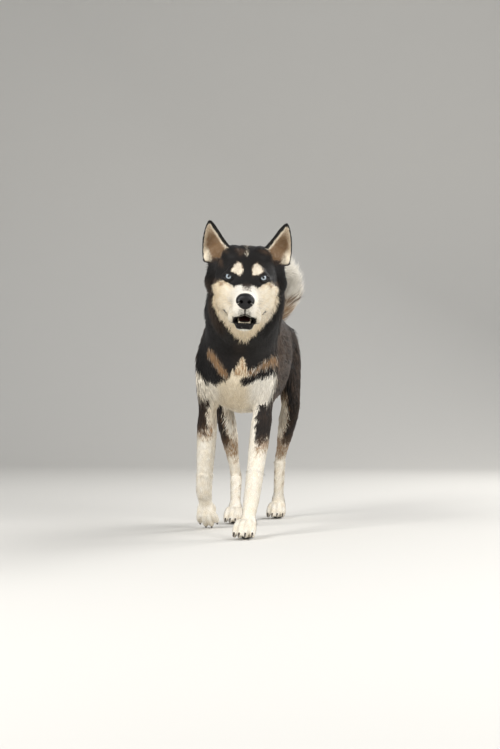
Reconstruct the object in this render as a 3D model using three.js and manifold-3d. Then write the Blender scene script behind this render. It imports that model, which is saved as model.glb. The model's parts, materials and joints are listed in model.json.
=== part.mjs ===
// A Siberian husky walking towards the viewer with its head turned to the front, as a life-size still model.
// Millimetres, +Z up, muzzle towards -Y, the dog's own left side towards +X, soles on z = 0.
import * as THREE from "three";
import { LoftGeometry } from "three/addons/geometries/LoftGeometry.js";
import { mergeVertices } from "three/addons/utils/BufferGeometryUtils.js";
import Module from "manifold-3d";

const wasm = await Module();
wasm.setup();

// Driving dimensions of the coat's outline
const WITHERS = 572; // height of the back over the shoulders
const BRISKET = 272; // height of the chest's lowest line
const CHEST = 109; // half width of the rib cage
const BREAST_Y = -128; // front of the breast
const RUMP_Y = 472; // back of the rump
const HIP_HEIGHT = 446;
const GAP = 0.3; // clearance that touching pieces keep

// Head: where the middle between the pupils is, and how the head is turned from straight ahead
const HEAD = { at: [57, -280, 589], pitch: 15, yaw: 8.5, roll: 2.4 }; // degrees
const EYE = { side: 38.5, back: -6, up: 0, radius: 11.5 };
const NOSE = { front: -105, top: -21, bottom: -52, half: 20.5 };
const EAR = { inner: [37, 60, 56], outer: [98, 84, 14], tip: [88, 62, 112], depth: 21 };
const JAW_DROP = 9; // degrees that the mouth hangs open

// Joints of each leg, from the body to the paw's knuckles
const LEGS = {
  fore_left: {
    blade: [56, -6, 486], elbow: [60, -24, 300],
    wrist: [49, -122, 110], knuckle: [41, -152, 33], heading: [-0.08, -1, 0], dorsal: [0, 0, 1],
  },
  fore_right: {
    blade: [-56, 0, 486], elbow: [-78, 2, 296],
    wrist: [-96, 46, 96], knuckle: [-95, 70, 52], heading: [0.02, 0.24, -0.97], dorsal: [0, -0.97, -0.24],
  },
  hind_left: {
    croup: [50, 392, 500], hip: [64, 376, HIP_HEIGHT], stifle: [84, 304, 300],
    hock: [42, 418, 155], knuckle: [33, 446, 31], heading: [-0.05, -1, 0], dorsal: [0, 0, 1],
  },
  hind_right: {
    croup: [-50, 388, 500], hip: [-64, 366, HIP_HEIGHT], stifle: [-84, 266, 302],
    hock: [-62, 332, 113], knuckle: [-54, 262, 31], heading: [0.04, -1, 0], dorsal: [0, 0, 1],
  },
};

const X_AXIS = new THREE.Vector3(1, 0, 0);
const Y_AXIS = new THREE.Vector3(0, 1, 0);
const radians = THREE.MathUtils.degToRad;
const vector = (p) => new THREE.Vector3(...p);
const between = (a, b, share) => a.map((v, i) => v + (b[i] - v) * share);
const shifted = (a, b) => a.map((v, i) => v + b[i]);

// A closed mesh as a solid, its faces out
function solidOf(geometry) {
  const bare = geometry.index ? geometry.toNonIndexed() : geometry.clone();
  for (const name of Object.keys(bare.attributes)) if (name !== "position") bare.deleteAttribute(name);
  const merged = mergeVertices(bare, 1e-3);
  const build = (triVerts) =>
    new wasm.Manifold(
      new wasm.Mesh({ numProp: 3, vertProperties: merged.attributes.position.array, triVerts }),
    );
  const corners = new Uint32Array(merged.index.array);
  const solid = build(corners);
  return solid.volume() > 0 ? solid : build(corners.reverse());
}

// A solid lofted through rings of points, whichever way round the rings were given
function lofted(sections) {
  const [first, next] = sections;
  const centre = (ring) => ring.reduce((sum, p) => sum.add(p), new THREE.Vector3()).divideScalar(ring.length);
  const middle = centre(first);
  const travel = centre(next).sub(middle);
  const turning = new THREE.Vector3();
  first.forEach((p, i) => {
    const following = first[(i + 1) % first.length];
    turning.add(p.clone().sub(middle).cross(following.clone().sub(middle)));
  });
  const ordered = turning.dot(travel) > 0 ? sections : sections.map((ring) => [...ring].reverse());
  return solidOf(new LoftGeometry(ordered, { capStart: true, capEnd: true }));
}

const fuse = (...solids) => solids.reduce((sum, solid) => sum.add(solid));
const cut = (solid, ...tools) => tools.reduce((rest, tool) => rest.subtract(tool), solid);

// The largest closed surface of a solid
function largest(solid) {
  const pieces = solid.decompose();
  const volumes = pieces.map((piece) => piece.volume());
  return pieces[volumes.indexOf(Math.max(...volumes))];
}

// The curves through rows of [x, y, z, half width, up, down]: the middle, and the three radii
function pathOf(rows) {
  const middle = rows.map(([x, y, z]) => new THREE.Vector3(x, y, z));
  const sizes = rows.map(([, , , wide, up = wide, down = up]) => new THREE.Vector3(wide, up, down));
  return [middle, sizes].map((points) => new THREE.CatmullRomCurve3(points, false, "catmullrom"));
}

// What a path is like at a share of its length: centre, directions and radii. The section lies
// across the path, or across a fixed axis
function stationAt([middle, sizes], share, sideways = X_AXIS, axis = null) {
  const along = axis ?? middle.getTangent(share);
  const side = sideways.clone().addScaledVector(along, -along.dot(sideways)).normalize();
  const above = new THREE.Vector3().crossVectors(side, along);
  const { x: wide, y: up, z: down } = sizes.getPoint(share);
  return { centre: middle.getPoint(share), along, side, above, wide, up, down };
}

// A point on the section, which is two half ellipses or something squarer
function rimPoint(station, angle, grow = 0, square = 2) {
  const soft = (value) => Math.sign(value) * Math.abs(value) ** (2 / square);
  const high = Math.sin(angle) > 0 ? station.up : station.down;
  return station.centre
    .clone()
    .addScaledVector(station.side, soft(Math.cos(angle)) * (Math.max(station.wide, 1) + grow))
    .addScaledVector(station.above, soft(Math.sin(angle)) * (Math.max(high, 1) + grow));
}

// A body swept along rows. Grow adds to every radius, and the span is the share of the path in use.
function swept(
  rows, { sides = 16, steps = 2, grow = 0, square = 2, sideways = X_AXIS, axis = null, span = [0, 1] } = {},
) {
  const path = pathOf(rows);
  const count = Math.round((rows.length - 1) * steps * (span[1] - span[0]));
  const sections = Array.from({ length: count + 1 }, (_, i) => {
    const station = stationAt(path, span[0] + ((span[1] - span[0]) * i) / count, sideways, axis);
    if (i === 0 || i === count) station.centre.addScaledVector(station.along, i === 0 ? -grow : grow);
    return Array.from({ length: sides }, (__, j) => rimPoint(station, (j / sides) * Math.PI * 2, grow, square));
  });
  return lofted(sections);
}

// Even numbers between 0 and 1, the same each time for a seed
function seeded(seed) {
  let state = seed;
  return () => {
    state = (Math.imul(state, 1664525) + 1013904223) >>> 0;
    return state / 2 ** 32;
  };
}

// A flat tapered lock of long hair: it leaves the root along the lie, bends away from the body
// and back again, and ends in a point
function lock({ root, lie, out, length, width, lift, sink = 8, grow = 0 }) {
  const side = new THREE.Vector3().crossVectors(out, lie).normalize();
  const shape = [[0, 0.6, 1], [0.38, 1, 1], [0.74, 0.66, 0.7], [1, 0.1, 0.2]]; // share, width, thickness
  const sections = shape.map(([share, wide, thick]) => {
    const rise = lift * Math.sin(share * 2.2) - sink * (1 - share) ** 2;
    const centre = root.clone().addScaledVector(lie, length * share).addScaledVector(out, rise);
    if (share === 1) centre.addScaledVector(lie, grow);
    const across = (width / 2) * wide + grow;
    const deep = width * 0.2 * thick + grow;
    return [[1, 0], [0, 1], [-1, 0], [0, -1]].map(([u, v]) =>
      centre.clone().addScaledVector(side, u * across).addScaledVector(out, v * deep),
    );
  });
  return lofted(sections);
}

// Locks in staggered rows over a swept body: each row is [share of the path, first angle,
// last angle, how many], the angles in degrees from the dog's left over the top
function locksOver(rows, bands, { depth, length, width, lift, seed, grow = 0, lean = [0, 0, 0], span }) {
  const path = pathOf(rows);
  const random = seeded(seed);
  const vary = (value, by) => value * (1 + by * (random() * 2 - 1));
  return bands.flatMap(([share, from, to, count], row) =>
    Array.from({ length: count }, (_, i) => {
      const step = (to - from) / count;
      const angle = radians(from + step * (i + 0.3 + 0.4 * (row % 2) + 0.3 * (random() - 0.5)));
      const station = stationAt(path, share + 0.02 * (random() - 0.5));
      const root = rimPoint(station, angle, -depth);
      const out = root.clone().sub(station.centre).normalize();
      const lie = station.along.clone().add(vector(lean)).addScaledVector(out, 0.12 * random()).normalize();
      out.addScaledVector(lie, -out.dot(lie)).normalize();
      const size = { length: vary(length, 0.18), width: vary(width, 0.2), lift: vary(lift, 0.25) };
      return lock({ root, lie, out, ...size, grow });
    }),
  );
}

// An egg at a place, with its three radii and a turn in degrees
function egg([x, y, z], [rx, ry, rz], turn = [0, 0, 0], grow = 0, sides = 14) {
  const shape = new THREE.SphereGeometry(1, sides, Math.round(sides * 0.7));
  shape.scale(rx + grow, ry + grow, rz + grow);
  shape.applyMatrix4(new THREE.Matrix4().makeRotationFromEuler(new THREE.Euler(...turn.map(radians))));
  shape.translate(x, y, z);
  return solidOf(shape);
}

const moved = (solid, matrix) => solid.transform(matrix.elements);

// Torso: rows of y, top, bottom and half width of the coat, then the share of the height that is widest
const TORSO_ROWS = [
  [BREAST_Y, 446, 366, 0.3],
  [-114, 486, 334, 0.58],
  [-72, 530, 298, 0.84],
  [-12, WITHERS - 4, BRISKET + 5, 0.94],
  [60, WITHERS, BRISKET, 0.98],
  [150, WITHERS - 10, BRISKET + 6, 1.01],
  [238, WITHERS - 15, BRISKET + 28, 0.96],
  [308, WITHERS - 13, BRISKET + 54, 0.88],
  [368, WITHERS - 20, BRISKET + 66, 0.88],
  [420, WITHERS - 38, BRISKET + 86, 0.8],
  [454, WITHERS - 68, BRISKET + 124, 0.58],
  [RUMP_Y, WITHERS - 100, BRISKET + 156, 0.26],
];

function torsoForm(grow = 0) {
  const rows = TORSO_ROWS.map(([y, top, bottom, wide]) => {
    const middle = bottom + (top - bottom) * 0.52;
    return [0, y, middle, CHEST * wide, top - middle, middle - bottom];
  });
  return swept(rows, { sides: 18, steps: 1.6, grow, square: 2.15, axis: Y_AXIS });
}

// Neck, from the back of the head down into the shoulders, and the locks of its ruff
const NECK_ROWS = [
  [53, -222, 590, 70, 58, 68],
  [48, -196, 575, 93, 80, 94],
  [38, -160, 545, 100, 94, 104],
  [24, -110, 508, 103, 98, 104],
  [10, -50, 465, 98, 96, 96],
  [4, -10, 440, 80, 80, 80],
];
const RUFF = { depth: 13, length: 84, width: 52, lift: 12 };
const RUFF_BANDS = [
  [0.1, 0, 360, 8],
  [0.28, 0, 360, 9],
  [0.46, 0, 360, 10],
  [0.64, 10, 370, 10],
];

function neckForm(grow = 0) {
  const core = swept(NECK_ROWS, { sides: 14, steps: 1, grow: grow - RUFF.depth + 2 });
  const ruff = locksOver(NECK_ROWS, RUFF_BANDS, { ...RUFF, seed: 11, grow, lean: [0, 0, -0.25] });
  return wasm.Manifold.union([core, ...ruff]);
}

// The head is built about the point between the pupils, looking along -Y, and then turned into place
const headTurn = new THREE.Matrix4()
  .makeTranslation(...HEAD.at)
  .multiply(new THREE.Matrix4().makeRotationZ(radians(HEAD.yaw)))
  .multiply(new THREE.Matrix4().makeRotationX(radians(HEAD.pitch)))
  .multiply(new THREE.Matrix4().makeRotationY(radians(HEAD.roll)));

// Skull and upper muzzle: rows of y, top, bottom and half width, nose first
const SKULL_ROWS = [
  [-98, -26, -66, 19],
  [-88, -19, -72, 27],
  [-62, -14, -74, 32],
  [-36, -8, -75, 37],
  [-18, 2, -76, 46],
  [0, 24, -78, 62],
  [26, 47, -80, 76],
  [60, 63, -78, 80],
  [92, 56, -66, 73],
  [117, 30, -42, 44],
];

// Locks that fan back and down from the cheek
function cheekLocks(side, grow) {
  const random = seeded(21);
  return [0, 1, 2, 3, 4].map((i) => {
    const turn = radians(-14 + i * 24 + 6 * random()); // from straight back towards straight down
    const lie = vector([side * 0.25, Math.cos(turn), -Math.sin(turn)]).normalize();
    const out = vector([side, 0, 0]).addScaledVector(lie, -side * lie.x).normalize();
    const root = vector([side * 70, 34 + 8 * Math.cos(turn), -34 - 16 * Math.sin(turn)]);
    return lock({ root, lie, out, length: 42 + 10 * random(), width: 30, lift: 4, sink: 9, grow });
  });
}

function skullForm(grow = 0) {
  const rows = SKULL_ROWS.map(([y, top, bottom, wide]) => {
    const middle = bottom + (top - bottom) * 0.5;
    return [0, y, middle, wide, top - middle, middle - bottom];
  });
  const skull = swept(rows, { sides: 14, steps: 1.4, grow, square: 2.1, axis: Y_AXIS });
  const pairs = [-1, 1].flatMap((side) => [
    egg([side * 51, 30, -32], [30, 46, 38], [0, 0, side * -14], grow, 8), // cheek
    egg([side * 30, 6, 9], [18, 20, 16], [0, 0, side * 24], grow, 8), // brow
    egg([side * 15, -72, -51], [18, 27, 23], [0, 0, 0], grow, 8), // whisker pad
    ...cheekLocks(side, grow),
  ]);
  return fuse(skull, ...pairs);
}

// The eyeball, and the almond opening between the lids
const eyeAt = (side) => [side * EYE.side, EYE.back, EYE.up];
const eyeball = (side, grow = 0) => egg(eyeAt(side), [EYE.radius, EYE.radius, EYE.radius], [0, 0, 0], grow, 12);

function lidOpening(side) {
  const half = 10.8;
  const high = 6.2;
  const almond = new THREE.Shape();
  almond.moveTo(-half, 0);
  almond.quadraticCurveTo(0, high * 2, half, 0);
  almond.quadraticCurveTo(0, -high * 2, -half, 0);
  const shape = new THREE.ExtrudeGeometry(almond, { depth: 26, bevelEnabled: false, curveSegments: 4 });
  shape.rotateX(radians(90)); // the almond now faces -Y
  shape.rotateY(radians(side * -14)); // outer corner higher
  shape.rotateZ(radians(side * 20));
  shape.translate(...eyeAt(side));
  return solidOf(shape);
}

function headForm(grow = 0) {
  const lids = [-1, 1].map((side) => egg(eyeAt(side), [14.2, 14.2, 14.2], [0, 0, 0], grow, 10));
  const openings = grow > 0 ? [] : [-1, 1].map(lidOpening);
  return cut(fuse(skullForm(grow), ...lids), ...openings);
}

// Lower jaw, hung open about its hinge
const JAW_HINGE = [0, 34, -60];
const jawTurn = new THREE.Matrix4()
  .makeTranslation(...JAW_HINGE)
  .multiply(new THREE.Matrix4().makeRotationX(radians(JAW_DROP)))
  .multiply(new THREE.Matrix4().makeTranslation(...JAW_HINGE.map((v) => -v)));

function jawForm(grow = 0) {
  const jaw = swept(
    [
      [0, -88, -79, 12, 8, 10],
      [0, -79, -79, 20, 9, 15],
      [0, -50, -80, 26, 10, 20],
      [0, -10, -80, 34, 10, 26],
      [0, 30, -76, 38, 10, 28],
    ],
    { sides: 14, steps: 1, square: 2.3, grow, axis: Y_AXIS },
  );
  const floor = swept(
    [
      [0, -77, -67, 10, 7, 9],
      [0, -50, -67, 17, 8, 9],
      [0, -10, -67, 23, 8, 9],
      [0, 12, -67, 24, 8, 9],
    ],
    { sides: 12, steps: 1, square: 3 },
  );
  return moved(grow > 0 ? jaw : fuse(cut(jaw, floor), teethForms()), jawTurn);
}

function teethForms() {
  const incisors = [-2.5, -1.5, -0.5, 0.5, 1.5, 2.5].map((i) =>
    egg([i * 3.6, -80 + Math.abs(i) * 0.8, -70], [1.9, 1.8, 4.4], [0, 0, 0], 0, 5),
  );
  const canines = [-1, 1].map((side) =>
    swept(
      [
        [side * 13, -74, -74, 3.2, 3.2],
        [side * 13.6, -76, -66, 2.6, 2.6],
        [side * 14, -75, -59, 0.8, 0.8],
      ],
      { sides: 5, steps: 1 },
    ),
  );
  return fuse(...incisors, ...canines);
}

function tongueForm(grow = 0) {
  const tongue = swept(
    [
      [0, -70, -70.5, 8, 3, 1],
      [0, -58, -69, 14, 5, 3],
      [0, -30, -68, 17, 6, 3],
      [0, 4, -68, 18, 6, 3],
    ],
    { sides: 8, steps: 1, grow },
  );
  return moved(tongue, jawTurn);
}

// Nose leather with its two nostrils
function noseForm(grow = 0) {
  const middle = (NOSE.top + NOSE.bottom) / 2;
  const high = (NOSE.top - NOSE.bottom) / 2;
  const leather = swept(
    [
      [0, NOSE.front, middle + 2, 9, high * 0.5, high * 0.6],
      [0, NOSE.front + 3, middle + 1, 16, high * 0.82, high * 0.85],
      [0, NOSE.front + 10, middle, NOSE.half, high, high],
      [0, NOSE.front + 20, middle + 2, NOSE.half - 2, high * 0.9, high * 0.8],
      [0, NOSE.front + 27, middle + 2, NOSE.half - 9, high * 0.5, high * 0.4],
    ],
    { sides: 12, steps: 1, grow, square: 2.3 },
  );
  if (grow > 0) return leather;
  const nostrils = [-1, 1].map((side) =>
    fuse(
      egg([side * 9, NOSE.front + 1, middle + 1], [4.6, 7, 4.4], [0, 0, side * 25], 0, 8),
      egg([side * 14, NOSE.front + 4, middle - 2.5], [5, 6, 2.2], [0, side * -25, side * 30], 0, 6),
    ),
  );
  return cut(leather, ...nostrils);
}

// Ear: a leaf between its inner and outer edges, bulged at the back and hollowed at the front
function earLeaf(side, start, inset, depthFront, depthBack) {
  const [inner, outer, tip] = [EAR.inner, EAR.outer, EAR.tip].map((p) => vector([side * p[0], p[1], p[2]]));
  const across = outer.clone().sub(inner).normalize();
  const rows = 6;
  const sections = Array.from({ length: rows + 1 }, (_, i) => {
    const share = start + ((1 - start) * i) / rows;
    const bow = 12 * Math.sin(Math.PI * Math.max(share, 0) ** 0.8);
    const from = inner.clone().lerp(tip, share).addScaledVector(across, -0.25 * bow);
    const to = outer.clone().lerp(tip, share).addScaledVector(across, bow);
    const half = Math.max((from.distanceTo(to) / 2) * Math.min(1, 1 + share) - inset, 3);
    const thick = Math.min(1, 0.25 + 1.3 * (1 - share));
    const centre = from.add(to).multiplyScalar(0.5);
    if (i === rows) centre.z -= inset;
    return Array.from({ length: 10 }, (__, j) => {
      const angle = (j / 10) * Math.PI * 2;
      const deep = Math.sin(angle) * (Math.sin(angle) > 0 ? depthBack : depthFront) * thick;
      return centre.clone().addScaledVector(across, Math.cos(angle) * half).add(vector([0, deep, 0]));
    });
  });
  return lofted(sections);
}

function earForm(side, grow = 0) {
  const leaf = earLeaf(side, -0.3, -grow, 5 + grow, EAR.depth + grow); // its root lies under the skin
  return grow > 0 ? leaf : cut(leaf, earLeaf(side, 0.04, 6, 30, EAR.depth - 5));
}

// Tail, carried in a sickle over the back and to the dog's left. The rows give the coat's tips;
// the core reaches less than half way out to them
const TAIL_ROWS = [
  [0, 432, 500, 24],
  [8, 466, 516, 33],
  [28, 492, 552, 43],
  [47, 496, 594, 51],
  [48, 470, 630, 55],
  [36, 428, 646, 53],
  [20, 386, 636, 43],
  [8, 352, 612, 24],
  [4, 342, 600, 6],
];
const TAIL_LENGTHS = {
  tail_base: { span: [0, 0.375], bands: [[0.12, 0, 360, 6], [0.27, 0, 360, 7]] },
  tail_middle: { span: [0.375, 0.7], bands: [[0.42, 0, 360, 8], [0.57, 0, 360, 7]] },
  tail_tip: { span: [0.7, 1], bands: [[0.72, 0, 360, 7], [0.84, 0, 360, 5]] },
};

function tailForm({ span, bands }, grow = 0) {
  const cores = TAIL_ROWS.map(([x, y, z, wide]) => [x, y, z, 5 + wide * 0.5]);
  const core = swept(cores, { sides: 9, steps: 1.5, span, grow });
  const size = { depth: 0, length: 66, width: 36, lift: 18 };
  return wasm.Manifold.union([core, ...locksOver(cores, bands, { ...size, seed: 31, grow })]);
}

// The rows of a leg hold half width, back and front. Foreleg: shoulder and upper arm
function upperArm(leg, grow = 0) {
  const { blade, elbow } = leg;
  return swept(
    [
      [...blade, 30, 46, 46],
      [...shifted(between(blade, elbow, 0.3), [8 * Math.sign(elbow[0]), -10, 0]), 35, 54, 62],
      [...shifted(between(blade, elbow, 0.6), [8 * Math.sign(elbow[0]), -10, 0]), 34, 50, 58],
      [...elbow, 30, 38, 40],
      [...shifted(elbow, [0, 2, -30]), 27, 31, 31],
    ],
    { sides: 10, grow },
  );
}

// Forearm, wrist and metacarpus
function foreArm(leg, grow = 0) {
  const { elbow, wrist, knuckle } = leg;
  return swept(
    [
      [...shifted(elbow, [0, 2, 16]), 25, 30, 28],
      [...between(elbow, wrist, 0.16), 29, 31, 31],
      [...between(elbow, wrist, 0.45), 28, 28, 27],
      [...between(elbow, wrist, 0.78), 24.5, 24, 23],
      [...wrist, 23.5, 21, 21],
      [...between(wrist, knuckle, 0.5), 22, 17, 17],
      [...knuckle, 20, 15, 15],
    ],
    { sides: 10, grow },
  );
}

// Thigh
function thigh(leg, grow = 0) {
  const { croup, hip, stifle } = leg;
  const onward = shifted(stifle, [0, (stifle[1] - hip[1]) * 0.12, -24]);
  const rows = [
    [...croup, 34, 48, 52],
    [...hip, 42, 74, 64],
    [...shifted(between(hip, stifle, 0.5), [0, 4, 0]), 39, 70, 58],
    [...stifle, 31, 52, 40],
    [...onward, 24, 38, 28],
  ];
  const bands = [[0.28, 50, 130, 3], [0.44, 46, 134, 3], [0.6, 46, 134, 3]];
  const breeches = { depth: 2, length: 64, width: 32, lift: 13, seed: 41, grow, lean: [0, 0.2, 0] };
  return wasm.Manifold.union([swept(rows, { sides: 12, grow }), ...locksOver(rows, bands, breeches)]);
}

// Shank, hock and metatarsus
function shank(leg, grow = 0) {
  const { stifle, hock, knuckle } = leg;
  return swept(
    [
      [...between(stifle, hock, -0.12), 22, 26, 24],
      [...between(stifle, hock, 0.1), 28, 36, 32],
      [...between(stifle, hock, 0.4), 25, 32, 26],
      [...between(stifle, hock, 0.75), 19.5, 23, 20],
      [...hock, 19, 19, 18],
      [...between(hock, knuckle, 0.3), 18.5, 17, 18],
      [...between(hock, knuckle, 0.65), 18, 17, 17],
      [...knuckle, 20, 16, 16],
    ],
    { sides: 10, grow },
  );
}

// Paw: four toes with pads and claws, and the large pad behind them
function pawForm(leg, size = 1) {
  const forward = vector(leg.heading).normalize();
  const dorsal = vector(leg.dorsal).addScaledVector(forward, -vector(leg.dorsal).dot(forward)).normalize();
  const side = new THREE.Vector3().crossVectors(forward, dorsal);
  const place = (across, ahead, up) =>
    vector(leg.knuckle)
      .addScaledVector(side, across * size)
      .addScaledVector(forward, ahead * size)
      .addScaledVector(dorsal, up * size)
      .toArray();
  const toes = [-1.5, -0.5, 0.5, 1.5].flatMap((i) => {
    const reach = 50 - 5 * Math.abs(i) ** 2;
    const toe = swept(
      [
        [...place(i * 7.5, -10, 0), 11 * size, 12 * size],
        [...place(i * 11.5, reach * 0.45, 0), 11 * size, 13 * size],
        [...place(i * 13.5, reach * 0.8, -13), 10.5 * size, 12 * size],
        [...place(i * 13.8, reach + 3, -27), 7 * size, 8 * size],
      ],
      { sides: 6, steps: 1, sideways: side },
    );
    const claw = swept(
      [
        [...place(i * 14, reach - 2, -16), 3 * size, 3 * size],
        [...place(i * 14.2, reach + 7, -21), 2.6 * size, 2.6 * size],
        [...place(i * 14.3, reach + 12, -28), 1 * size, 1 * size],
      ],
      { sides: 4, steps: 1, sideways: side },
    );
    return [toe, claw];
  });
  const turn = new THREE.Matrix4().makeBasis(side, forward, dorsal);
  const pad = moved(egg([0, 0, 0], [22 * size, 19 * size, 14 * size], [0, 0, 0], 0, 8), turn).translate(
    place(0, 10, -21),
  );
  const root = swept(
    [
      [...between(leg.knuckle, leg.wrist ?? leg.hock, 0.2), 19, 15],
      [...place(0, 2, -5), 22 * size, 18 * size],
      [...place(0, 22, -8), 24 * size, 14 * size],
    ],
    { sides: 8, steps: 1, sideways: side },
  );
  return fuse(root, pad, ...toes);
}

// Parting the whole animal with thin cuts: a piece gives way to every piece that came before it
const below = solidOf(new THREE.BoxGeometry(2000, 2000, 200).translate(0, 0, -100));
const taken = [];

function overlaps(first, second) {
  const [a, b] = [first.boundingBox(), second.boundingBox()];
  return [0, 1, 2].every((k) => a.min[k] < b.max[k] && b.min[k] < a.max[k]);
}

function part(name, form, held = {}) {
  const whole = form(0);
  const clear = cut(whole, ...taken.filter((room) => overlaps(whole, room)));
  held[name] = largest(clear);
  taken.push(form(GAP));
}

// In the head's own frame
const headParts = {};
const sides = [["left", 1], ["right", -1]];
for (const [word, side] of sides) part("eye_" + word, (grow) => eyeball(side, grow), headParts);
part("nose", noseForm, headParts);
part("head", headForm, headParts);
part("lower_jaw", jawForm, headParts);
part("tongue", tongueForm, headParts);
for (const [word, side] of sides) part("ear_" + word, (grow) => earForm(side, grow), headParts);

// The rest of the animal, clear of the head where it now is
const headRoom = moved(fuse(...taken.splice(0)), headTurn);
taken.push(headRoom);
const parts = {};
part("torso", torsoForm, parts);
for (const [name, leg] of Object.entries(LEGS)) {
  const isFore = name.startsWith("fore");
  part(name + (isFore ? "_upper_arm" : "_thigh"), (grow) => (isFore ? upperArm : thigh)(leg, grow), parts);
  part(name + (isFore ? "_forearm" : "_shank"), (grow) => (isFore ? foreArm : shank)(leg, grow), parts);
  part(name + "_paw", (grow) => cut(pawForm(leg, isFore ? 1 : 0.94), below), parts);
}
part("neck", neckForm, parts);
for (const [name, length] of Object.entries(TAIL_LENGTHS)) part(name, (grow) => tailForm(length, grow), parts);

// Finishes
const finish = (color, roughness, metalness = 0) =>
  new THREE.MeshStandardMaterial({ color, roughness, metalness });
const blackCoat = finish("#26211f", 0.85);
const creamCoat = finish("#d9cbb4", 0.85);
const plume = finish("#c9b296", 0.85);
const leather = finish("#17151a", 0.45);
const iris = finish("#a9c3cf", 0.1);
const tongueFlesh = finish("#b4686a", 0.4);
const finishes = {
  nose: leather, eye: iris, tongue: tongueFlesh, tail: plume, torso: blackCoat, neck: blackCoat,
  head: blackCoat, ear: blackCoat, lower_jaw: creamCoat, upper_arm: blackCoat, thigh: blackCoat,
};
const finishOf = (name) => finishes[Object.keys(finishes).find((key) => name.includes(key))] ?? creamCoat;

function meshOf(name, solid) {
  const { numProp, numVert, vertProperties, triVerts } = solid.getMesh();
  const places = new Float32Array(numVert * 3);
  for (let i = 0; i < numVert; i++) places.set(vertProperties.subarray(i * numProp, i * numProp + 3), i * 3);
  const geometry = new THREE.BufferGeometry();
  geometry.setAttribute("position", new THREE.BufferAttribute(places, 3));
  geometry.setIndex(new THREE.BufferAttribute(triVerts, 1));
  geometry.computeVertexNormals();
  const mesh = new THREE.Mesh(geometry, finishOf(name));
  mesh.name = name;
  return mesh;
}

const husky = new THREE.Group();
const head = new THREE.Group();
headTurn.decompose(head.position, head.quaternion, head.scale);
for (const [name, solid] of Object.entries(headParts)) head.add(meshOf(name, solid));
for (const [name, solid] of Object.entries(parts)) husky.add(meshOf(name, solid));
husky.add(head);

// The origin is on the floor under the middle of the animal
husky.updateMatrixWorld(true);
const span = new THREE.Box3().setFromObject(husky, true);
husky.position.set(-(span.min.x + span.max.x) / 2, -(span.min.y + span.max.y) / 2, -span.min.z);

export default husky;
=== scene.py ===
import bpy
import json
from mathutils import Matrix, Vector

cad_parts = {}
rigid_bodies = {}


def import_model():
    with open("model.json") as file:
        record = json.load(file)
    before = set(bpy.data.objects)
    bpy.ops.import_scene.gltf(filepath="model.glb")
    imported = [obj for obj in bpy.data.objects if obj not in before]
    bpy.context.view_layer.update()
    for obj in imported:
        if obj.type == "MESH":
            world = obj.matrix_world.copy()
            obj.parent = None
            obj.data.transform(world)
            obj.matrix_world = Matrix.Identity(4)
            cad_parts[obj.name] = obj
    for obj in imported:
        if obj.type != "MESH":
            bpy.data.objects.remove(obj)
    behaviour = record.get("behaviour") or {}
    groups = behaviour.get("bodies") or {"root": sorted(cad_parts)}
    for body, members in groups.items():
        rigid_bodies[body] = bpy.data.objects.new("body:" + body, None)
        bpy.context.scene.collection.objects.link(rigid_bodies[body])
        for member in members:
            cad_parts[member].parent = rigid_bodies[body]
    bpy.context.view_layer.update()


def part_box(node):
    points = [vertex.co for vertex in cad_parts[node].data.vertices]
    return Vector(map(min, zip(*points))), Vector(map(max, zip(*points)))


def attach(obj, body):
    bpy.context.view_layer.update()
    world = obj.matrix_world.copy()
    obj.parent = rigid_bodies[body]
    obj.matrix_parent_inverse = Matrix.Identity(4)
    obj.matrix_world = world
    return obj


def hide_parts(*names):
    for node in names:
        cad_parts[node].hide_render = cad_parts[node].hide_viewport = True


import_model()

import json
import math

import bpy
import numpy as np
from mathutils import Matrix, Vector
from mathutils.bvhtree import BVHTree

# A siberian husky in its walk, looking at the viewer. Places are in millimetres in the dog's own
# frame: muzzle towards -Y, the dog's left side +X, ground at 0. One shift brings them to metres.

look = {"azimuth": 8.5, "height": 0.327, "distance": 3.73, "across": -0.0236, "pitch": 0.753, "lens": 74.98}
head = {"at": (57, -280, 589), "pitch": 15, "yaw": 8.5, "roll": 2.4}
eye = {"side": 38.5, "back": -6, "radius": 11.5, "socket": 11.8}


def turning(degrees, axis, size=4):
    return Matrix.Rotation(math.radians(degrees), size, axis)


def headMatrix():
    turn = turning(head["yaw"], "Z") @ turning(head["pitch"], "X")
    return Matrix.Translation(head["at"]) @ turn @ turning(head["roll"], "Y")


headPlace = np.array(headMatrix())
headBack = np.linalg.inv(headPlace)


def moved(points, matrix):
    points = np.asarray(points, float)
    return points @ matrix[:3, :3].T + matrix[:3, 3]


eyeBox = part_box("eye_left")
eyeCentre = np.array([(a + b) / 2 for a, b in zip(*eyeBox)])
# From the dog's frame to the part's
shift = eyeCentre * 1000 - moved([[eye["side"], eye["back"], 0]], headPlace)[0]


def toRoom(points):
    return (np.asarray(points, float) + shift) / 1000


# Camera, as the photograph was taken: low, a little to the dog's left, level with its chest
def placeCamera():
    turn = math.radians(look["azimuth"])
    right = np.array([math.cos(turn), math.sin(turn), 0])
    ahead = np.array([-math.sin(turn), math.cos(turn), 0])
    place = -look["across"] * right - look["distance"] * ahead + shift / 1000
    data = bpy.data.cameras.new("camera")
    data.lens = look["lens"]
    data.sensor_width = 36
    data.clip_end = 60
    camera = bpy.data.objects.new("camera", data)
    bpy.context.scene.collection.objects.link(camera)
    camera.location = (place[0], place[1], look["height"])
    tilt = math.radians(look["pitch"])
    aim = Vector((*(ahead * math.cos(tilt))[:2], math.sin(tilt)))
    camera.rotation_euler = aim.to_track_quat("-Z", "Y").to_euler()
    bpy.context.scene.camera = camera


placeCamera()
print("camera placed")


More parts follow.
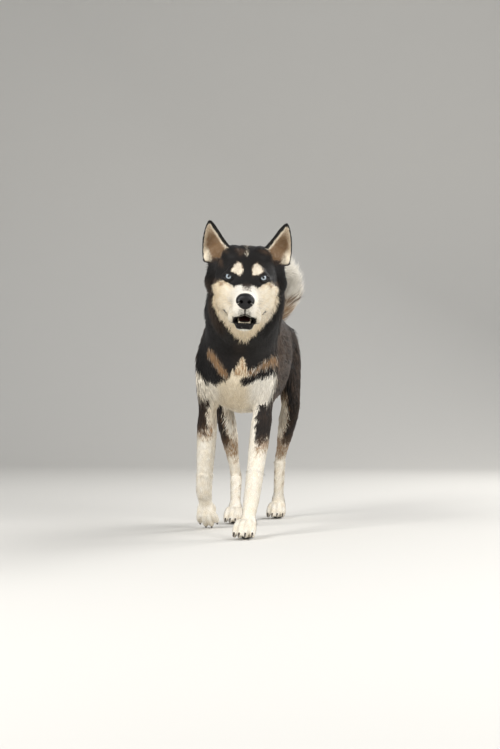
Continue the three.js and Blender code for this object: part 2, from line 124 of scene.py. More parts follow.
# Plain mesh helpers
def makeObject(name, points, faces):
    points = [tuple(p) for p in np.asarray(points, float)]
    mesh = bpy.data.meshes.new(name)
    mesh.from_pydata(points, [], [tuple(int(i) for i in f) for f in faces])
    mesh.validate()
    mesh.update()
    mesh.shade_smooth()
    piece = bpy.data.objects.new(name, mesh)
    bpy.context.scene.collection.objects.link(piece)
    return piece


def soft(value, low, high):  # 0 below low, 1 above high, smooth between
    t = np.clip((value - low) / (high - low), 0, 1)
    return t * t * (3 - 2 * t)


def curveAt(points, shares):  # a smooth curve through points, even in their count, and its direction
    points = np.asarray(points, float)
    padded = np.vstack([2 * points[0] - points[1], points, 2 * points[-1] - points[-2]])
    t = np.clip(np.asarray(shares, float), 0, 1) * (len(points) - 1)
    i = np.minimum(t.astype(int), len(points) - 2)
    f = (t - i)[:, None]
    a, b, c, d = (padded[i + k] for k in range(4))
    m, n = (c - a) / 2, (d - b) / 2
    place = b + m * f + (3 * (c - b) - 2 * m - n) * f ** 2 + (2 * (b - c) + m + n) * f ** 3
    way = m + 2 * (3 * (c - b) - 2 * m - n) * f + 3 * (2 * (b - c) + m + n) * f ** 2
    return place, way / np.maximum(np.linalg.norm(way, axis=1, keepdims=True), 1e-9)


def towards(value, aim, share):  # value where the share is 0, aim where it is 1
    if np.ndim(value) > np.ndim(share):
        share = share[:, None]
    return value * (1 - share) + np.asarray(aim) * share


def stationsOf(form, count):  # centres, directions and radii at even shares of a form's path
    # a row's last radius stands for the ones it leaves out
    rows = np.array([list(row) + [row[-1]] * (6 - len(row)) for row in form["rows"]], float)
    shares = np.linspace(0, 1, count)
    centre, along = curveAt(rows[:, :3], shares)
    sizes = curveAt(rows[:, 3:], shares)[0]
    if "axis" in form:
        along = np.tile(np.array(form["axis"], float), (count, 1))
    side = np.tile(np.array(form.get("sideways", (1, 0, 0)), float), (count, 1))
    side -= along * (side * along).sum(1, keepdims=True)
    side /= np.linalg.norm(side, axis=1, keepdims=True)
    above = np.cross(side, along)
    sizes = np.maximum(sizes - form.get("depth", 0), form.get("least", 4))
    return centre, along, side, above, sizes


def sweep(form, sides, count):  # rings of points along a form's path
    centre, along, side, above, sizes = stationsOf(form, count)
    angle = np.arange(sides) / sides * 2 * np.pi
    power = 2 / form.get("square", 2)
    cos = np.sign(np.cos(angle)) * np.abs(np.cos(angle)) ** power
    sin = np.sign(np.sin(angle)) * np.abs(np.sin(angle)) ** power
    high = np.where(np.sin(angle)[None] > 0, sizes[:, 1:2], sizes[:, 2:3])
    return (
        centre[:, None]
        + side[:, None] * (cos[None] * sizes[:, :1])[..., None]
        + above[:, None] * (sin[None] * high)[..., None]
    )


def closeRings(rings):  # a closed skin over rings of points
    count, sides = rings.shape[:2]
    points = rings.reshape(-1, 3)
    i, j = np.meshgrid(np.arange(count - 1), np.arange(sides), indexing="ij")
    a, b = i * sides + j, i * sides + (j + 1) % sides
    faces = [list(f) for f in np.stack([a, b, b + sides, a + sides], -1).reshape(-1, 4)]
    faces += [list(range(sides))[::-1], [(count - 1) * sides + k for k in range(sides)]]
    return points, faces


def outward(points, faces):  # turn every face round if the volume is negative
    total = 0.0
    for f in faces:
        p = [points[k] for k in f]
        for k in range(1, len(f) - 1):
            total += np.dot(p[0], np.cross(p[k], p[k + 1]))
    return faces if total > 0 else [list(f)[::-1] for f in faces]


def eggShape(centre, radii, turn=(0, 0, 0), sides=28):
    turned = np.array(turning(turn[0], "X", 3) @ turning(turn[1], "Y", 3) @ turning(turn[2], "Z", 3))
    angle = np.arange(sides) / sides * 2 * np.pi
    rings = []
    for tilt in np.linspace(0.06, np.pi - 0.06, sides // 2):
        across = np.sin(tilt)
        ring = np.stack([across * np.cos(angle), across * np.sin(angle), np.full(sides, np.cos(tilt))], 1)
        rings.append((ring * radii) @ turned.T + centre)
    return closeRings(np.array(rings))


def gather(shapes):  # several closed shapes as one mesh
    points, faces, first = [], [], 0
    for p, f in shapes:
        points.append(p)
        faces += [[k + first for k in face] for face in outward(p, f)]
        first += len(p)
    return np.vstack(points), faces


def remeshed(name, points, faces, size):  # one closed surface round everything, in even quads
    piece = makeObject(name, np.asarray(points) / 1000, faces)
    step = piece.modifiers.new("even", "REMESH")
    step.mode = "VOXEL"
    step.voxel_size = size / 1000
    return bakeDown(piece)


def bakeDown(piece):  # apply what modifiers the piece has
    graph = bpy.context.evaluated_depsgraph_get()
    mesh = bpy.data.meshes.new_from_object(piece.evaluated_get(graph))
    old = piece.data
    piece.modifiers.clear()
    piece.data = mesh
    bpy.data.meshes.remove(old)
    return piece


def pointsOf(piece):
    flat = np.empty(len(piece.data.vertices) * 3, np.float32)
    piece.data.vertices.foreach_get("co", flat)
    return flat.reshape(-1, 3).astype(float)


def setPoints(piece, points):
    piece.data.vertices.foreach_set("co", np.asarray(points, np.float32).ravel())
    piece.data.update()


def edgesOf(piece):
    flat = np.empty(len(piece.data.edges) * 2, np.int32)
    piece.data.edges.foreach_get("vertices", flat)
    return flat.reshape(-1, 2)


def averaged(values, edges, rounds, weight=None):  # each vertex drawn halfway to its neighbours
    count = len(values)
    a = np.concatenate([edges[:, 0], edges[:, 1]])
    b = np.concatenate([edges[:, 1], edges[:, 0]])
    number = np.maximum(np.bincount(a, minlength=count), 1)
    values = np.array(values, float)
    share = 0.5 if weight is None else 0.5 * weight[:, None]
    for _ in range(rounds):
        mean = np.stack([np.bincount(a, values[b, k], count) / number for k in range(values.shape[1])], 1)
        values += (mean - values) * share
    return values


def boolean(target, tool, kind):
    step = target.modifiers.new("join", "BOOLEAN")
    step.operation = kind
    step.object = tool
    step.solver = "MANIFOLD"
    bakeDown(target)
    bpy.data.objects.remove(tool)


# The forms under the coat, in the same named sizes as the solids
withers, brisket, chest, breastY, rumpY, hipHeight = 572, 272, 109, -128, 472, 446

torsoRows = [  # place along the body, top, bottom, and the width as a share of the chest's
    (breastY, 446, 366, 0.3), (-114, 486, 334, 0.58), (-72, 530, 298, 0.84),
    (-12, withers - 4, brisket + 5, 0.94), (60, withers, brisket, 0.98),
    (150, withers - 10, brisket + 6, 1.01), (238, withers - 15, brisket + 28, 0.96),
    (308, withers - 13, brisket + 54, 0.88), (368, withers - 20, brisket + 66, 0.88),
    (420, withers - 38, brisket + 86, 0.8), (454, withers - 68, brisket + 124, 0.58),
    (rumpY, withers - 100, brisket + 156, 0.26),
]
neckRows = [  # centre, half width, height above it and depth below it
    (53, -222, 590, 70, 58, 68), (48, -196, 575, 93, 80, 94), (38, -160, 545, 100, 94, 104),
    (24, -110, 508, 103, 98, 104), (10, -50, 465, 98, 96, 96), (4, -10, 440, 80, 80, 80),
]
tailRows = [  # centre and radius of the whole brush
    (0, 432, 500, 24), (8, 466, 516, 33), (28, 492, 552, 43), (47, 496, 594, 51), (48, 470, 630, 55),
    (36, 428, 646, 53), (20, 386, 636, 43), (8, 352, 612, 24), (4, 342, 600, 6),
]
legs = {  # heading: where the toes point; dorsal: up from the back of the foot
    "foreLeft": {"top": (56, -6, 486), "bend": (60, -24, 300), "ankle": (49, -122, 110),
                 "knuckle": (41, -152, 33), "heading": (-0.08, -1, 0), "dorsal": (0, 0, 1), "size": 1},
    "foreRight": {"top": (-56, 0, 486), "bend": (-78, 2, 296), "ankle": (-96, 46, 96),
                  "knuckle": (-95, 70, 52), "heading": (0.02, 0.24, -0.97), "dorsal": (0, -0.97, -0.24),
                  "size": 1},
    "hindLeft": {"top": (50, 392, 500), "hip": (64, 376, hipHeight), "bend": (84, 304, 300),
                 "ankle": (42, 418, 155), "knuckle": (33, 446, 31), "heading": (-0.05, -1, 0),
                 "dorsal": (0, 0, 1), "size": 0.94},
    "hindRight": {"top": (-50, 388, 500), "hip": (-64, 366, hipHeight), "bend": (-84, 266, 302),
                  "ankle": (-62, 332, 113), "knuckle": (-54, 262, 31), "heading": (0.04, -1, 0),
                  "dorsal": (0, 0, 1), "size": 0.94},
}


def between(a, b, share):
    return tuple(p + (q - p) * share for p, q in zip(a, b))


def plus(a, b):
    return tuple(p + q for p, q in zip(a, b))


def bodyForms():
    forms = {}
    rows = []
    for y, top, bottom, wide in torsoRows:
        middle = bottom + (top - bottom) * 0.52
        rows.append((0, y, middle, chest * wide, top - middle, middle - bottom))
    forms["torso"] = {"rows": rows, "square": 2.15, "axis": (0, 1, 0), "depth": 15, "least": 9}
    forms["neck"] = {"rows": neckRows, "depth": 17}
    forms["tail"] = {"rows": [(x, y, z, 6 + r * 0.14) for x, y, z, r in tailRows]}
    for name, leg in legs.items():
        top, bend, ankle, knuckle = leg["top"], leg["bend"], leg["ankle"], leg["knuckle"]
        if name.startswith("fore"):
            out = 8 * math.copysign(1, bend[0])
            forms[name + "Upper"] = {"depth": 9, "rows": [
                (*top, 30, 46, 46), (*plus(between(top, bend, 0.3), (out, -10, 0)), 35, 54, 62),
                (*plus(between(top, bend, 0.6), (out, -10, 0)), 34, 50, 58), (*bend, 30, 38, 40),
                (*plus(bend, (0, 2, -30)), 27, 31, 31)]}
            forms[name + "Lower"] = {"depth": 4.5, "rows": [
                (*plus(bend, (0, 2, 16)), 25, 30, 28), (*between(bend, ankle, 0.16), 29, 31, 31),
                (*between(bend, ankle, 0.45), 28, 28, 27), (*between(bend, ankle, 0.78), 24.5, 24, 23),
                (*ankle, 23.5, 21, 21), (*between(ankle, knuckle, 0.5), 22, 17, 17), (*knuckle, 20, 15, 15)]}
        else:
            hip = leg["hip"]
            onward = plus(bend, (0, (bend[1] - hip[1]) * 0.12, -24))
            forms[name + "Upper"] = {"depth": 10, "rows": [
                (*top, 34, 48, 52), (*hip, 42, 74, 64),
                (*plus(between(hip, bend, 0.5), (0, 4, 0)), 39, 70, 58),
                (*bend, 31, 52, 40), (*onward, 24, 38, 28)]}
            forms[name + "Lower"] = {"depth": 4.5, "rows": [
                (*between(bend, ankle, -0.12), 22, 26, 24), (*between(bend, ankle, 0.1), 28, 36, 32),
                (*between(bend, ankle, 0.4), 25, 32, 26), (*between(bend, ankle, 0.75), 19.5, 23, 20),
                (*ankle, 19, 19, 18), (*between(ankle, knuckle, 0.3), 18.5, 17, 18),
                (*between(ankle, knuckle, 0.65), 18, 17, 17), (*knuckle, 20, 16, 16)]}
    return forms


def pawForms(leg):  # four toes, their claws, the pad behind them and the root that joins the leg
    forward = Vector(leg["heading"]).normalized()
    dorsal = Vector(leg["dorsal"])
    dorsal = (dorsal - forward * dorsal.dot(forward)).normalized()
    side = forward.cross(dorsal)
    size = leg["size"]

    def place(across, ahead, up):
        return tuple(Vector(leg["knuckle"]) + (side * across + forward * ahead + dorsal * up) * size)

    toes, claws = [], []
    for i in (-1.5, -0.5, 0.5, 1.5):
        reach = 50 - 5 * i * i
        toes.append({"sideways": tuple(side), "depth": 1.5, "rows": [
            (*place(i * 7.5, -10, 0), 10 * size, 11 * size),
            (*place(i * 11.5, reach * 0.45, 1), 8.6 * size, 12 * size),
            (*place(i * 13.6, reach * 0.8, -11), 8.4 * size, 11.5 * size),
            (*place(i * 14, reach + 2, -23), 6.8 * size, 8.4 * size),
            (*place(i * 14, reach + 6, -26), 4 * size, 4.4 * size)]})
        claws.append({"sideways": tuple(side), "least": 0.4, "rows": [
            (*place(i * 14, reach - 2, -17), 2.6 * size, 3.2 * size),
            (*place(i * 14.2, reach + 6, -19), 2.4 * size, 2.9 * size),
            (*place(i * 14.3, reach + 10.5, -23), 1.6 * size, 2 * size),
            (*place(i * 14.3, reach + 12, -27.5), 0.5 * size, 0.5 * size)]})
    turn = np.array(Matrix((side, forward, dorsal)).transposed())
    padPoints, padFaces = eggShape((0, 0, 0), (21 * size, 19 * size, 14 * size))
    pad = (padPoints @ turn.T + np.array(place(0, 10, -20)), padFaces)
    root = {"sideways": tuple(side), "depth": 2, "rows": [
        (*between(leg["knuckle"], leg["ankle"], 0.2), 19, 15), (*place(0, 0, -5), 21 * size, 16 * size),
        (*place(0, 16, -10), 21 * size, 11 * size)]}
    return toes, claws, pad, root


# The head, in its own frame: looking along -Y, the middle between the eyes at 0. Below, s is the
# place across it, to the dog's left, f the place backwards and u the height.
skullRows = [  # place from front to back, top, bottom and half width
    (-98, -26, -66, 19), (-88, -19, -72, 27), (-62, -14, -74, 32), (-36, -8, -75, 37), (-18, 2, -76, 46),
    (0, 24, -78, 62), (26, 47, -80, 76), (60, 63, -78, 80), (92, 56, -66, 73), (117, 30, -42, 44),
]
jawRows = [  # centre, half width, height above it and depth below it, with the mouth shut
    (0, -87, -79, 12, 7, 7), (0, -79, -79, 18.5, 8.5, 11), (0, -50, -80, 22, 9.5, 17),
    (0, -10, -80, 27, 10, 22), (0, 30, -76, 34, 10, 23),
]
jawHinge = np.array([0, 34, -60])
jawDrop = 9  # degrees
jawTurn = np.array(
    Matrix.Translation(jawHinge) @ turning(jawDrop, "X") @ Matrix.Translation(-Vector(jawHinge))
)
ear = {
    "inner": (37, 60, 56), "outer": (98, 84, 14), "tip": (88, 62, 112), "depth": 20, "wall": 3.6,
    "fur": 1.5,
}


def headForms():
    rows = []
    for y, top, bottom, wide in skullRows:
        fur = np.interp(y, [-98, -60, 0, 60, 117], [2, 2.5, 3.5, 6, 14])
        side = np.interp(y, [-98, -60, 0, 60, 117], [2, 3, 6, 14, 18])
        middle = (top + bottom) / 2
        rows.append((0, y, middle, wide - side, top - fur - middle, middle - bottom - min(side, 8)))
    skull = {"rows": rows, "axis": (0, 1, 0), "square": 2.1}
    jaw = {"rows": jawRows, "axis": (0, 1, 0), "square": 2.3}
    return skull, jaw


def earHalf(share):  # half the width of the leaf at each share of its height, round at the tip
    down = 79 * np.maximum(1 - np.asarray(share, float), 0)
    return 3.9 * np.sqrt(down) + 0.07 * down


def earShape(side):  # a leaf as a bent sheet: the back of the ear, and the hollow in front of it
    inner, outer, tip = (np.array(ear[k], float) for k in ("inner", "outer", "tip"))
    across = (outer - inner) / np.linalg.norm(outer - inner)
    angle = np.linspace(0, np.pi, 22)
    towardsTip = 0.8 + 0.192 * np.sin(np.linspace(0.12, np.pi / 2, 12))
    rings = []
    for share in np.concatenate([np.linspace(-0.25, 0.8, 28), towardsTip]):
        root = max(-share, 0)  # below the leaf the root turns in to the skull
        bow = 4.5 * math.sin(math.pi * max(share, 0) ** 0.8)
        centre = (inner + outer) / 2 * (1 - share) + tip * share + across * (bow - 47 * root)
        half = (float(earHalf(max(share, 0))) * (1 + root) - 47 * root) * (1 - root) - ear["fur"]
        half = max(half, 1.0)
        thick = min(1, 0.25 + 1.3 * (1 - share))
        hollow = np.clip((share - 0.02) / 0.2, 0, 1)
        deep = ear["depth"] * thick - ear["fur"]
        wall = ear["wall"] + (1 - hollow) * (deep + 4)
        rim = max(half - 2.6, 0.8)
        ring = [centre + across * math.cos(t) * half + np.array([0, math.sin(t) * deep, 0]) for t in angle]
        for t in angle[::-1]:
            behind = math.sin(t) * (deep - wall) - 1.2
            ring.append(centre + across * math.cos(t) * rim + np.array([0, behind, 0]))
        rings.append(ring)
    rings = np.array(rings)
    rings[..., 0] *= side
    return closeRings(rings)


lid = {"inner": 11.5, "outer": 10.0, "high": 6.7, "low": 5.6, "over": 12.3}


def lidCurve(t, scale):  # the almond between the lids, seen from in front of the eye
    reach = np.where(np.cos(t) > 0, lid["outer"], lid["inner"])
    x = reach * np.cos(t)
    tall = np.where(np.sin(t) > 0, lid["high"], lid["low"]) * np.sign(np.sin(t))
    z = tall * (1 - (np.abs(x) / reach) ** 2.1)
    return x * scale, z * scale + (scale - 1) * 5.5 * np.sin(t)


def eyeFrame(side):  # from the eye's own frame (out along -Y, outer corner +X) to the head's
    turn = turning(side * 17, "Z") @ turning(side * -12, "Y")
    return np.array(Matrix.Translation((side * eye["side"], eye["back"], 0)) @ turn)


def lidShape(side):  # the dark wet rim along both lids, one closed ring
    count, sides = 64, 10
    t = np.arange(count) / count * 2 * np.pi
    x, z = lidCurve(t, 1.03)
    y = -np.sqrt(np.maximum(lid["over"] ** 2 - x * x - z * z, 1))
    middle = np.stack([x * side, y, z], 1)
    outwards = middle / np.linalg.norm(middle, axis=1, keepdims=True)
    along = np.roll(middle, -1, 0) - np.roll(middle, 1, 0)
    along /= np.linalg.norm(along, axis=1, keepdims=True)
    across = np.cross(along, outwards)
    turn = np.arange(sides) / sides * 2 * np.pi
    high = outwards[:, None] * (np.cos(turn) * 1.05)[None, :, None]
    wide = across[:, None] * (np.sin(turn) * 1.15)[None, :, None]
    rings = middle[:, None] + high + wide
    faces = []
    for i in range(count):
        for j in range(sides):
            k, n = (i + 1) % count, (j + 1) % sides
            faces.append([i * sides + j, i * sides + n, k * sides + n, k * sides + j])
    points = moved(rings.reshape(-1, 3), eyeFrame(side))
    return points, outward(points, faces)


def headMesh():
    skull, jaw = headForms()
    shapes = [closeRings(sweep(skull, 40, 46))]
    jawPoints, jawFaces = closeRings(sweep(jaw, 32, 24))
    shapes.append((moved(jawPoints, jawTurn), jawFaces))
    for side in (-1, 1):
        shapes += [
            eggShape((side * 49, 28, -32), (22, 42, 32), (0, 0, side * -14)),  # cheek muscle
            eggShape((side * 53, 14, -9), (9, 30, 9), (0, 8, side * -20)),  # cheek bone
            eggShape((side * 27, 4, 11), (17, 18, 13), (0, side * 20, side * 24)),  # brow
            eggShape((side * eye["side"], -5.5, -0.5), (15.5, 13.4, 13.2), (0, 0, side * 17)),  # lids
            eggShape((side * 13.5, -72, -56), (16, 25, 21)),  # whisker pad
            eggShape((side * 25.5, -48, -75), (10, 35, 19.5), (0, 0, side * 10)),  # upper lip, hanging
            eggShape((side * 33, -4, -74), (9, 24, 12), (0, 0, side * 6)),  # corner of the mouth
            eggShape((side * 27, 62, 33), (31, 38, 23.5)),  # temple, flat between the ears
            eggShape((side * 62, 72, -14), (25, 32, 44)),  # ruff behind the cheek
            eggShape((side * 40, 26, -60), (25, 42, 29), (0, 0, side * -10)),  # fur of the lower cheek
            earShape(side),
        ]
    points, faces = gather(shapes)
    piece = remeshed("headSkin", points, faces, 2.0)
    points = pointsOf(piece) * 1000
    edges = edgesOf(piece)
    thin = np.clip((points[:, 2] - 40) / 25, 0, 1) * (np.abs(points[:, 0]) > 40)  # ears keep their edges
    points = averaged(points, edges, 9, 1 - 0.8 * thin)
    s, f, u = points.T
    face = soft(18 - f, 0, 25) * soft(f, -92, -80) * soft(np.abs(s), 8, 20)
    face *= soft(np.hypot(np.abs(s) - eye["side"], u), 17, 26) * soft(u, -90, -80)
    points = averaged(points, edges, 34, face * (1 - thin))
    setPoints(piece, points / 1000)
    t = np.arange(48) / 48 * 2 * np.pi
    for side in (-1, 1):
        socket = eggShape((side * eye["side"], eye["back"], 0), (eye["socket"],) * 3, sides=48)
        opening = []
        for y, scale in ((-3, 1.0), (-9, 1.0), (-14, 1.06), (-26, 1.5)):
            x, z = lidCurve(t, scale)
            opening.append(moved(np.stack([x * side, np.full(len(t), y), z], 1), eyeFrame(side)))
        for shape in (socket, closeRings(np.array(opening))):
            p, f = gather([shape])
            boolean(piece, makeObject("cutter", p / 1000, f), "DIFFERENCE")
    p = pointsOf(piece) * 1000
    setPoints(piece, moved(p, headPlace) / 1000)
    return piece


def skinMesh():
    forms = bodyForms()
    trunk = [closeRings(sweep(forms[k], 40, 60)) for k in ("torso", "neck", "tail")]
    trunk += [closeRings(sweep(f, 32, 30)) for k, f in forms.items() if k.endswith("Upper")]
    shins = [f for k, f in forms.items() if k.endswith("Lower")]
    trunk += [closeRings(sweep({**f, "rows": f["rows"][:-1]}, 32, 40)) for f in shins]
    low = [closeRings(sweep({**f, "rows": f["rows"][-4:]}, 32, 30)) for f in shins]
    claws = []
    for leg in legs.values():
        toes, legClaws, pad, root = pawForms(leg)
        low += [closeRings(sweep(t, 24, 24)) for t in toes] + [pad, closeRings(sweep(root, 28, 12))]
        claws += [closeRings(sweep(c, 12, 10)) for c in legClaws]
    points, faces = gather(trunk)
    body = remeshed("skin", points, faces, 5.5)
    edges = edgesOf(body)
    points = pointsOf(body)
    points = averaged(points, edges, 28, 0.12 + 0.88 * soft(points[:, 2], 0.19, 0.3))
    # the neck's fur runs on over the shoulders
    crest = np.exp(-((points[:, 1] * 1000 + 20) / 75) ** 2) * soft(points[:, 2], 0.42, 0.5)
    setPoints(body, averaged(points, edges, 50, crest))
    points, faces = gather(low)
    feet = remeshed("feet", points, faces, 2.1)
    edges = edgesOf(feet)
    points = averaged(pointsOf(feet), edges, 2)
    wrist = 0
    for leg in legs.values():
        middle = between(leg["knuckle"], leg["ankle"], 0.22)
        wrist = wrist + np.exp(-(np.linalg.norm(points * 1000 - middle, axis=1) / 20) ** 2)
    # the leg runs into the paw without a crease
    setPoints(feet, averaged(points, edges, 30, np.minimum(wrist * 1.3, 1)))
    boolean(body, feet, "UNION")
    boolean(body, headMesh(), "UNION")
    points = pointsOf(body) * 1000
    points[:, 2] = np.maximum(points[:, 2], 0.5)  # the pads are flat on the ground
    setPoints(body, toRoom(points))
    body.data.shade_smooth()
    return body, claws


skin, clawShapes = skinMesh()
print("skin", len(skin.data.vertices), "points")


# Everything a tuft of the coat needs to know about its place: lie, size and markings

def ragged(p, size):  # an uneven value between -1 and 1 that changes over about this many millimetres
    q = p / size
    wave = (
        np.sin(q[:, 0] * 6.1 + 3 * np.sin(q[:, 1] * 2.3 + 1.7))
        + np.sin(q[:, 1] * 5.3 + 2.6 * np.sin(q[:, 2] * 2.9))
    )
    return (wave + np.sin(q[:, 2] * 6.7 + 2.8 * np.sin(q[:, 0] * 3.1 + 0.6))) / 3


def bodySpots():  # middle, direction, radius and name of every station along the body
    count = 26
    forms = bodyForms()
    for name, leg in legs.items():
        reach = 50 * leg["size"]
        way = Vector(leg["heading"]).normalized()
        up = Vector(leg["dorsal"])
        start = Vector(leg["knuckle"]) - up * 4
        middle = start + way * reach * 0.5 - up * 3
        tip = start + way * reach - up * 14
        forms[name + "Paw"] = {"rows": [(*start, 20, 16), (*middle, 24, 14), (*tip, 20, 11)]}
    skull, jaw = headForms()
    found = {key: [] for key in ("middle", "way", "side", "above", "radius", "name", "share")}
    for name, form in {**forms, "skull": skull, "jaw": jaw}.items():
        centre, along, side, above, sizes = stationsOf(form, count)
        if name == "jaw":
            centre = moved(centre, jawTurn)
        if name in ("skull", "jaw"):
            centre = moved(centre, headPlace)
            along, side, above = (v @ headPlace[:3, :3].T for v in (along, side, above))
        stations = (centre, along, side, above, sizes.mean(1), [name] * count, np.linspace(0, 1, count))
        for key, values in zip(found, stations):
            found[key].append(values)
    return {key: np.concatenate(values) for key, values in found.items()}


flowSpots = bodySpots()


spotNames = list(dict.fromkeys(flowSpots["name"]))
spotIndex = np.array([spotNames.index(n) for n in flowSpots["name"]])


# For each point: weight of each form, blended direction, share along the nearest form, its station
def nearest(points):
    reach, atOnce = 14, 20000
    weights = np.zeros((len(points), len(spotNames)))
    way = np.zeros((len(points), 3))
    share = np.zeros(len(points))
    spot = np.zeros(len(points), int)
    middle = flowSpots["middle"]
    for first in range(0, len(points), atOnce):
        some = slice(first, first + atOnce)
        p = points[some]
        squares = (p * p).sum(1)[:, None] + (middle * middle).sum(1)[None]
        gap = np.sqrt(np.maximum(squares - 2 * p @ middle.T, 0)) - flowSpots["radius"][None]
        w = np.exp(-(gap - gap.min(1, keepdims=True)) / reach)
        w /= w.sum(1, keepdims=True)
        way[some] = w @ flowSpots["way"]
        for k in range(len(spotNames)):
            weights[some, k] = w[:, spotIndex == k].sum(1)
        spot[some] = gap.argmin(1)
        share[some] = flowSpots["share"][spot[some]]
    return weights, way, share, spot


def weightOf(weights, *words):
    return sum(weights[:, k] for k, n in enumerate(spotNames) if any(w in n for w in words))


coat = {  # length and width of the tufts in millimetres, and their lift as a share of the length
    "torso": (44, 6.2, 0.2), "neck": (50, 6.4, 0.24), "tail": (62, 6.4, 0.66), "Upper": (28, 4.4, 0.16),
    "Lower": (10.5, 2.0, 0.09), "Paw": (5, 1.5, 0.08), "skull": (13, 2.6, 0.2), "jaw": (8, 2.0, 0.2),
}
coatPlaces = {  # the same three for bib and ears, and what breeches and shanks add to theirs
    "bib": (17, 2.1, 0.1), "ear": (3.4, 1.25, 0.12), "breech": (16, 0, 0.22), "shank": (13, 0.7, 0.1),
}
partNumber = {"head": 0, "body": 1, "tail": 2, "legs": 3, "muzzle": 4, "chest": 5}


def headPart(points):  # how much of a point belongs to the head, and its place in the head's frame
    local = moved(points, headBack)
    near = np.clip((112 - local[:, 1] - 0.25 * np.abs(local[:, 2] + 10)) / 26, 0, 1)
    return local, np.maximum(near * soft(local[:, 2], -190, -150), earPlace(local)[0])


def earPlace(local):  # 1 on the ears, share from root to tip, distance in from the edge and across
    inner, outer, tip = (np.array(ear[k], float)[[0, 2]] for k in ("inner", "outer", "tip"))
    q = np.stack([np.abs(local[:, 0]), local[:, 2]], 1) - tip
    basis = np.linalg.inv(np.stack([inner - tip, outer - tip], 1))
    wide = q @ basis.T
    share = 1 - wide.sum(1)
    across = (wide[:, 1] - wide[:, 0]) * 37 - 4.5 * np.sin(np.pi * np.clip(share, 0, 1) ** 0.8)
    inwards = earHalf(share) - np.abs(across)
    on = soft(share, -0.2, -0.08) * (local[:, 1] > 46) * (np.abs(local[:, 0]) > 36)
    on *= soft(local[:, 2], 10, 20)
    on *= soft(-local[:, 1], -106, -98)
    return on, share, inwards, across


def segmentFar(l, z, a, b):  # distance in millimetres from a stripe's middle line, seen from in front
    way = np.array(b, float) - a
    q = np.stack([l, z], 1) - np.array(a, float)
    t = np.clip(q @ way / (way @ way), 0, 1)
    return np.linalg.norm(q - t[:, None] * way, axis=1)


# Distance inwards from the nearest edge of a convex outline, negative outside
def insidePolygon(a, u, corners):
    corners = np.array(corners, float)
    depth = np.full(len(a), 1e9)
    for start, end in zip(corners, np.roll(corners, -1, 0)):
        way = (end - start) / np.linalg.norm(end - start)
        depth = np.minimum(depth, (a - start[0]) * way[1] - (u - start[1]) * way[0])
    return depth


chestMarks = {  # seen from in front: across from the middle of the ground the dog walks on, and height
    "collarAcross": (-120, -94, -79, -56, -33, -17, -7, 1, 5, 9, 14, 20, 86, 120),
    "collarHeight": (392, 378, 355, 349, 358, 376, 389, 404, 404, 397, 384, 377, 414, 426),
    "rightStripe": ((-69, 419), (-35, 371)), "stripeHalf": 7,
    "leftBand": ((10, 356), (100, 393)), "bandHalf": 9.5,
    "edgeHeight": (200, 286, 294, 314, 345, 373, 392), "edgeAcross": (30, 34, 50, 72, 87, 90, 92),
}


def chestMarkings(across, high, z, n3):  # black and tan of the breast, seen from in front
    collar = soft(high - np.interp(across, chestMarks["collarAcross"], chestMarks["collarHeight"]), -4, 4)
    band = soft(chestMarks["bandHalf"] - segmentFar(across, high, *chestMarks["leftBand"]), -2, 3)
    stripeFar = segmentFar(across, high, *chestMarks["rightStripe"])
    stripe = soft(chestMarks["stripeHalf"] - stripeFar, -3, 3)
    outside = soft(across - np.interp(high, chestMarks["edgeHeight"], chestMarks["edgeAcross"]), -4, 6)
    tanBand = soft(across, 8, 20) * (1 - collar) * soft(high - (362 + 0.42 * (across - 12)), 0, 6)
    black = np.maximum(collar * (1 - 0.72 * stripe), band)
    black = np.maximum(black, np.maximum(outside * soft(z, 262, 290), 0.34 * tanBand))
    tan = np.maximum(soft(chestMarks["stripeHalf"] + 5 - stripeFar, 0, 2), tanBand * (1 - band))
    tan = np.maximum(tan, 0.58 * soft(high, 360, 376) * soft(20 - np.abs(across), 0, 8))
    tan = tan * (1 - 0.9 * soft(collar * (1 - stripe), 0.4, 0.9))
    tan = np.maximum(tan, outside * (0.42 + 0.3 * n3) * soft(across, 66, 96))
    return black, np.clip(tan, 0, 1)


maskMarks = {  # on the face: how low the black reaches at each distance from the middle, and its marks
    "across": (0, 6, 10, 15, 24, 32, 40, 50, 60, 70, 80),
    "low": (-27, -22, -15, -17, -22, -18, -13, -9, -17, -25, -32),
    "brow": ((8, 8), (8.5, 18), (11.5, 26), (20, 28.5), (28, 25), (34.5, 18), (39.5, 11.5), (34, 7.5),
             (20, 1.5), (14, 0), (9.5, 3)),
    "middle": 2.7,  # brows and bridge have their middle this far to the dog's left
    "height": (-163, -150, -132, -117, -99, -80, -60, -20),  # the pale mask, and its half width there
    "wide": (2, 14, 28, 41, 55, 66, 72, 72),
    "lipEdge": ((21, -97), (29, -92), (38, -86), (46, -75)),
}


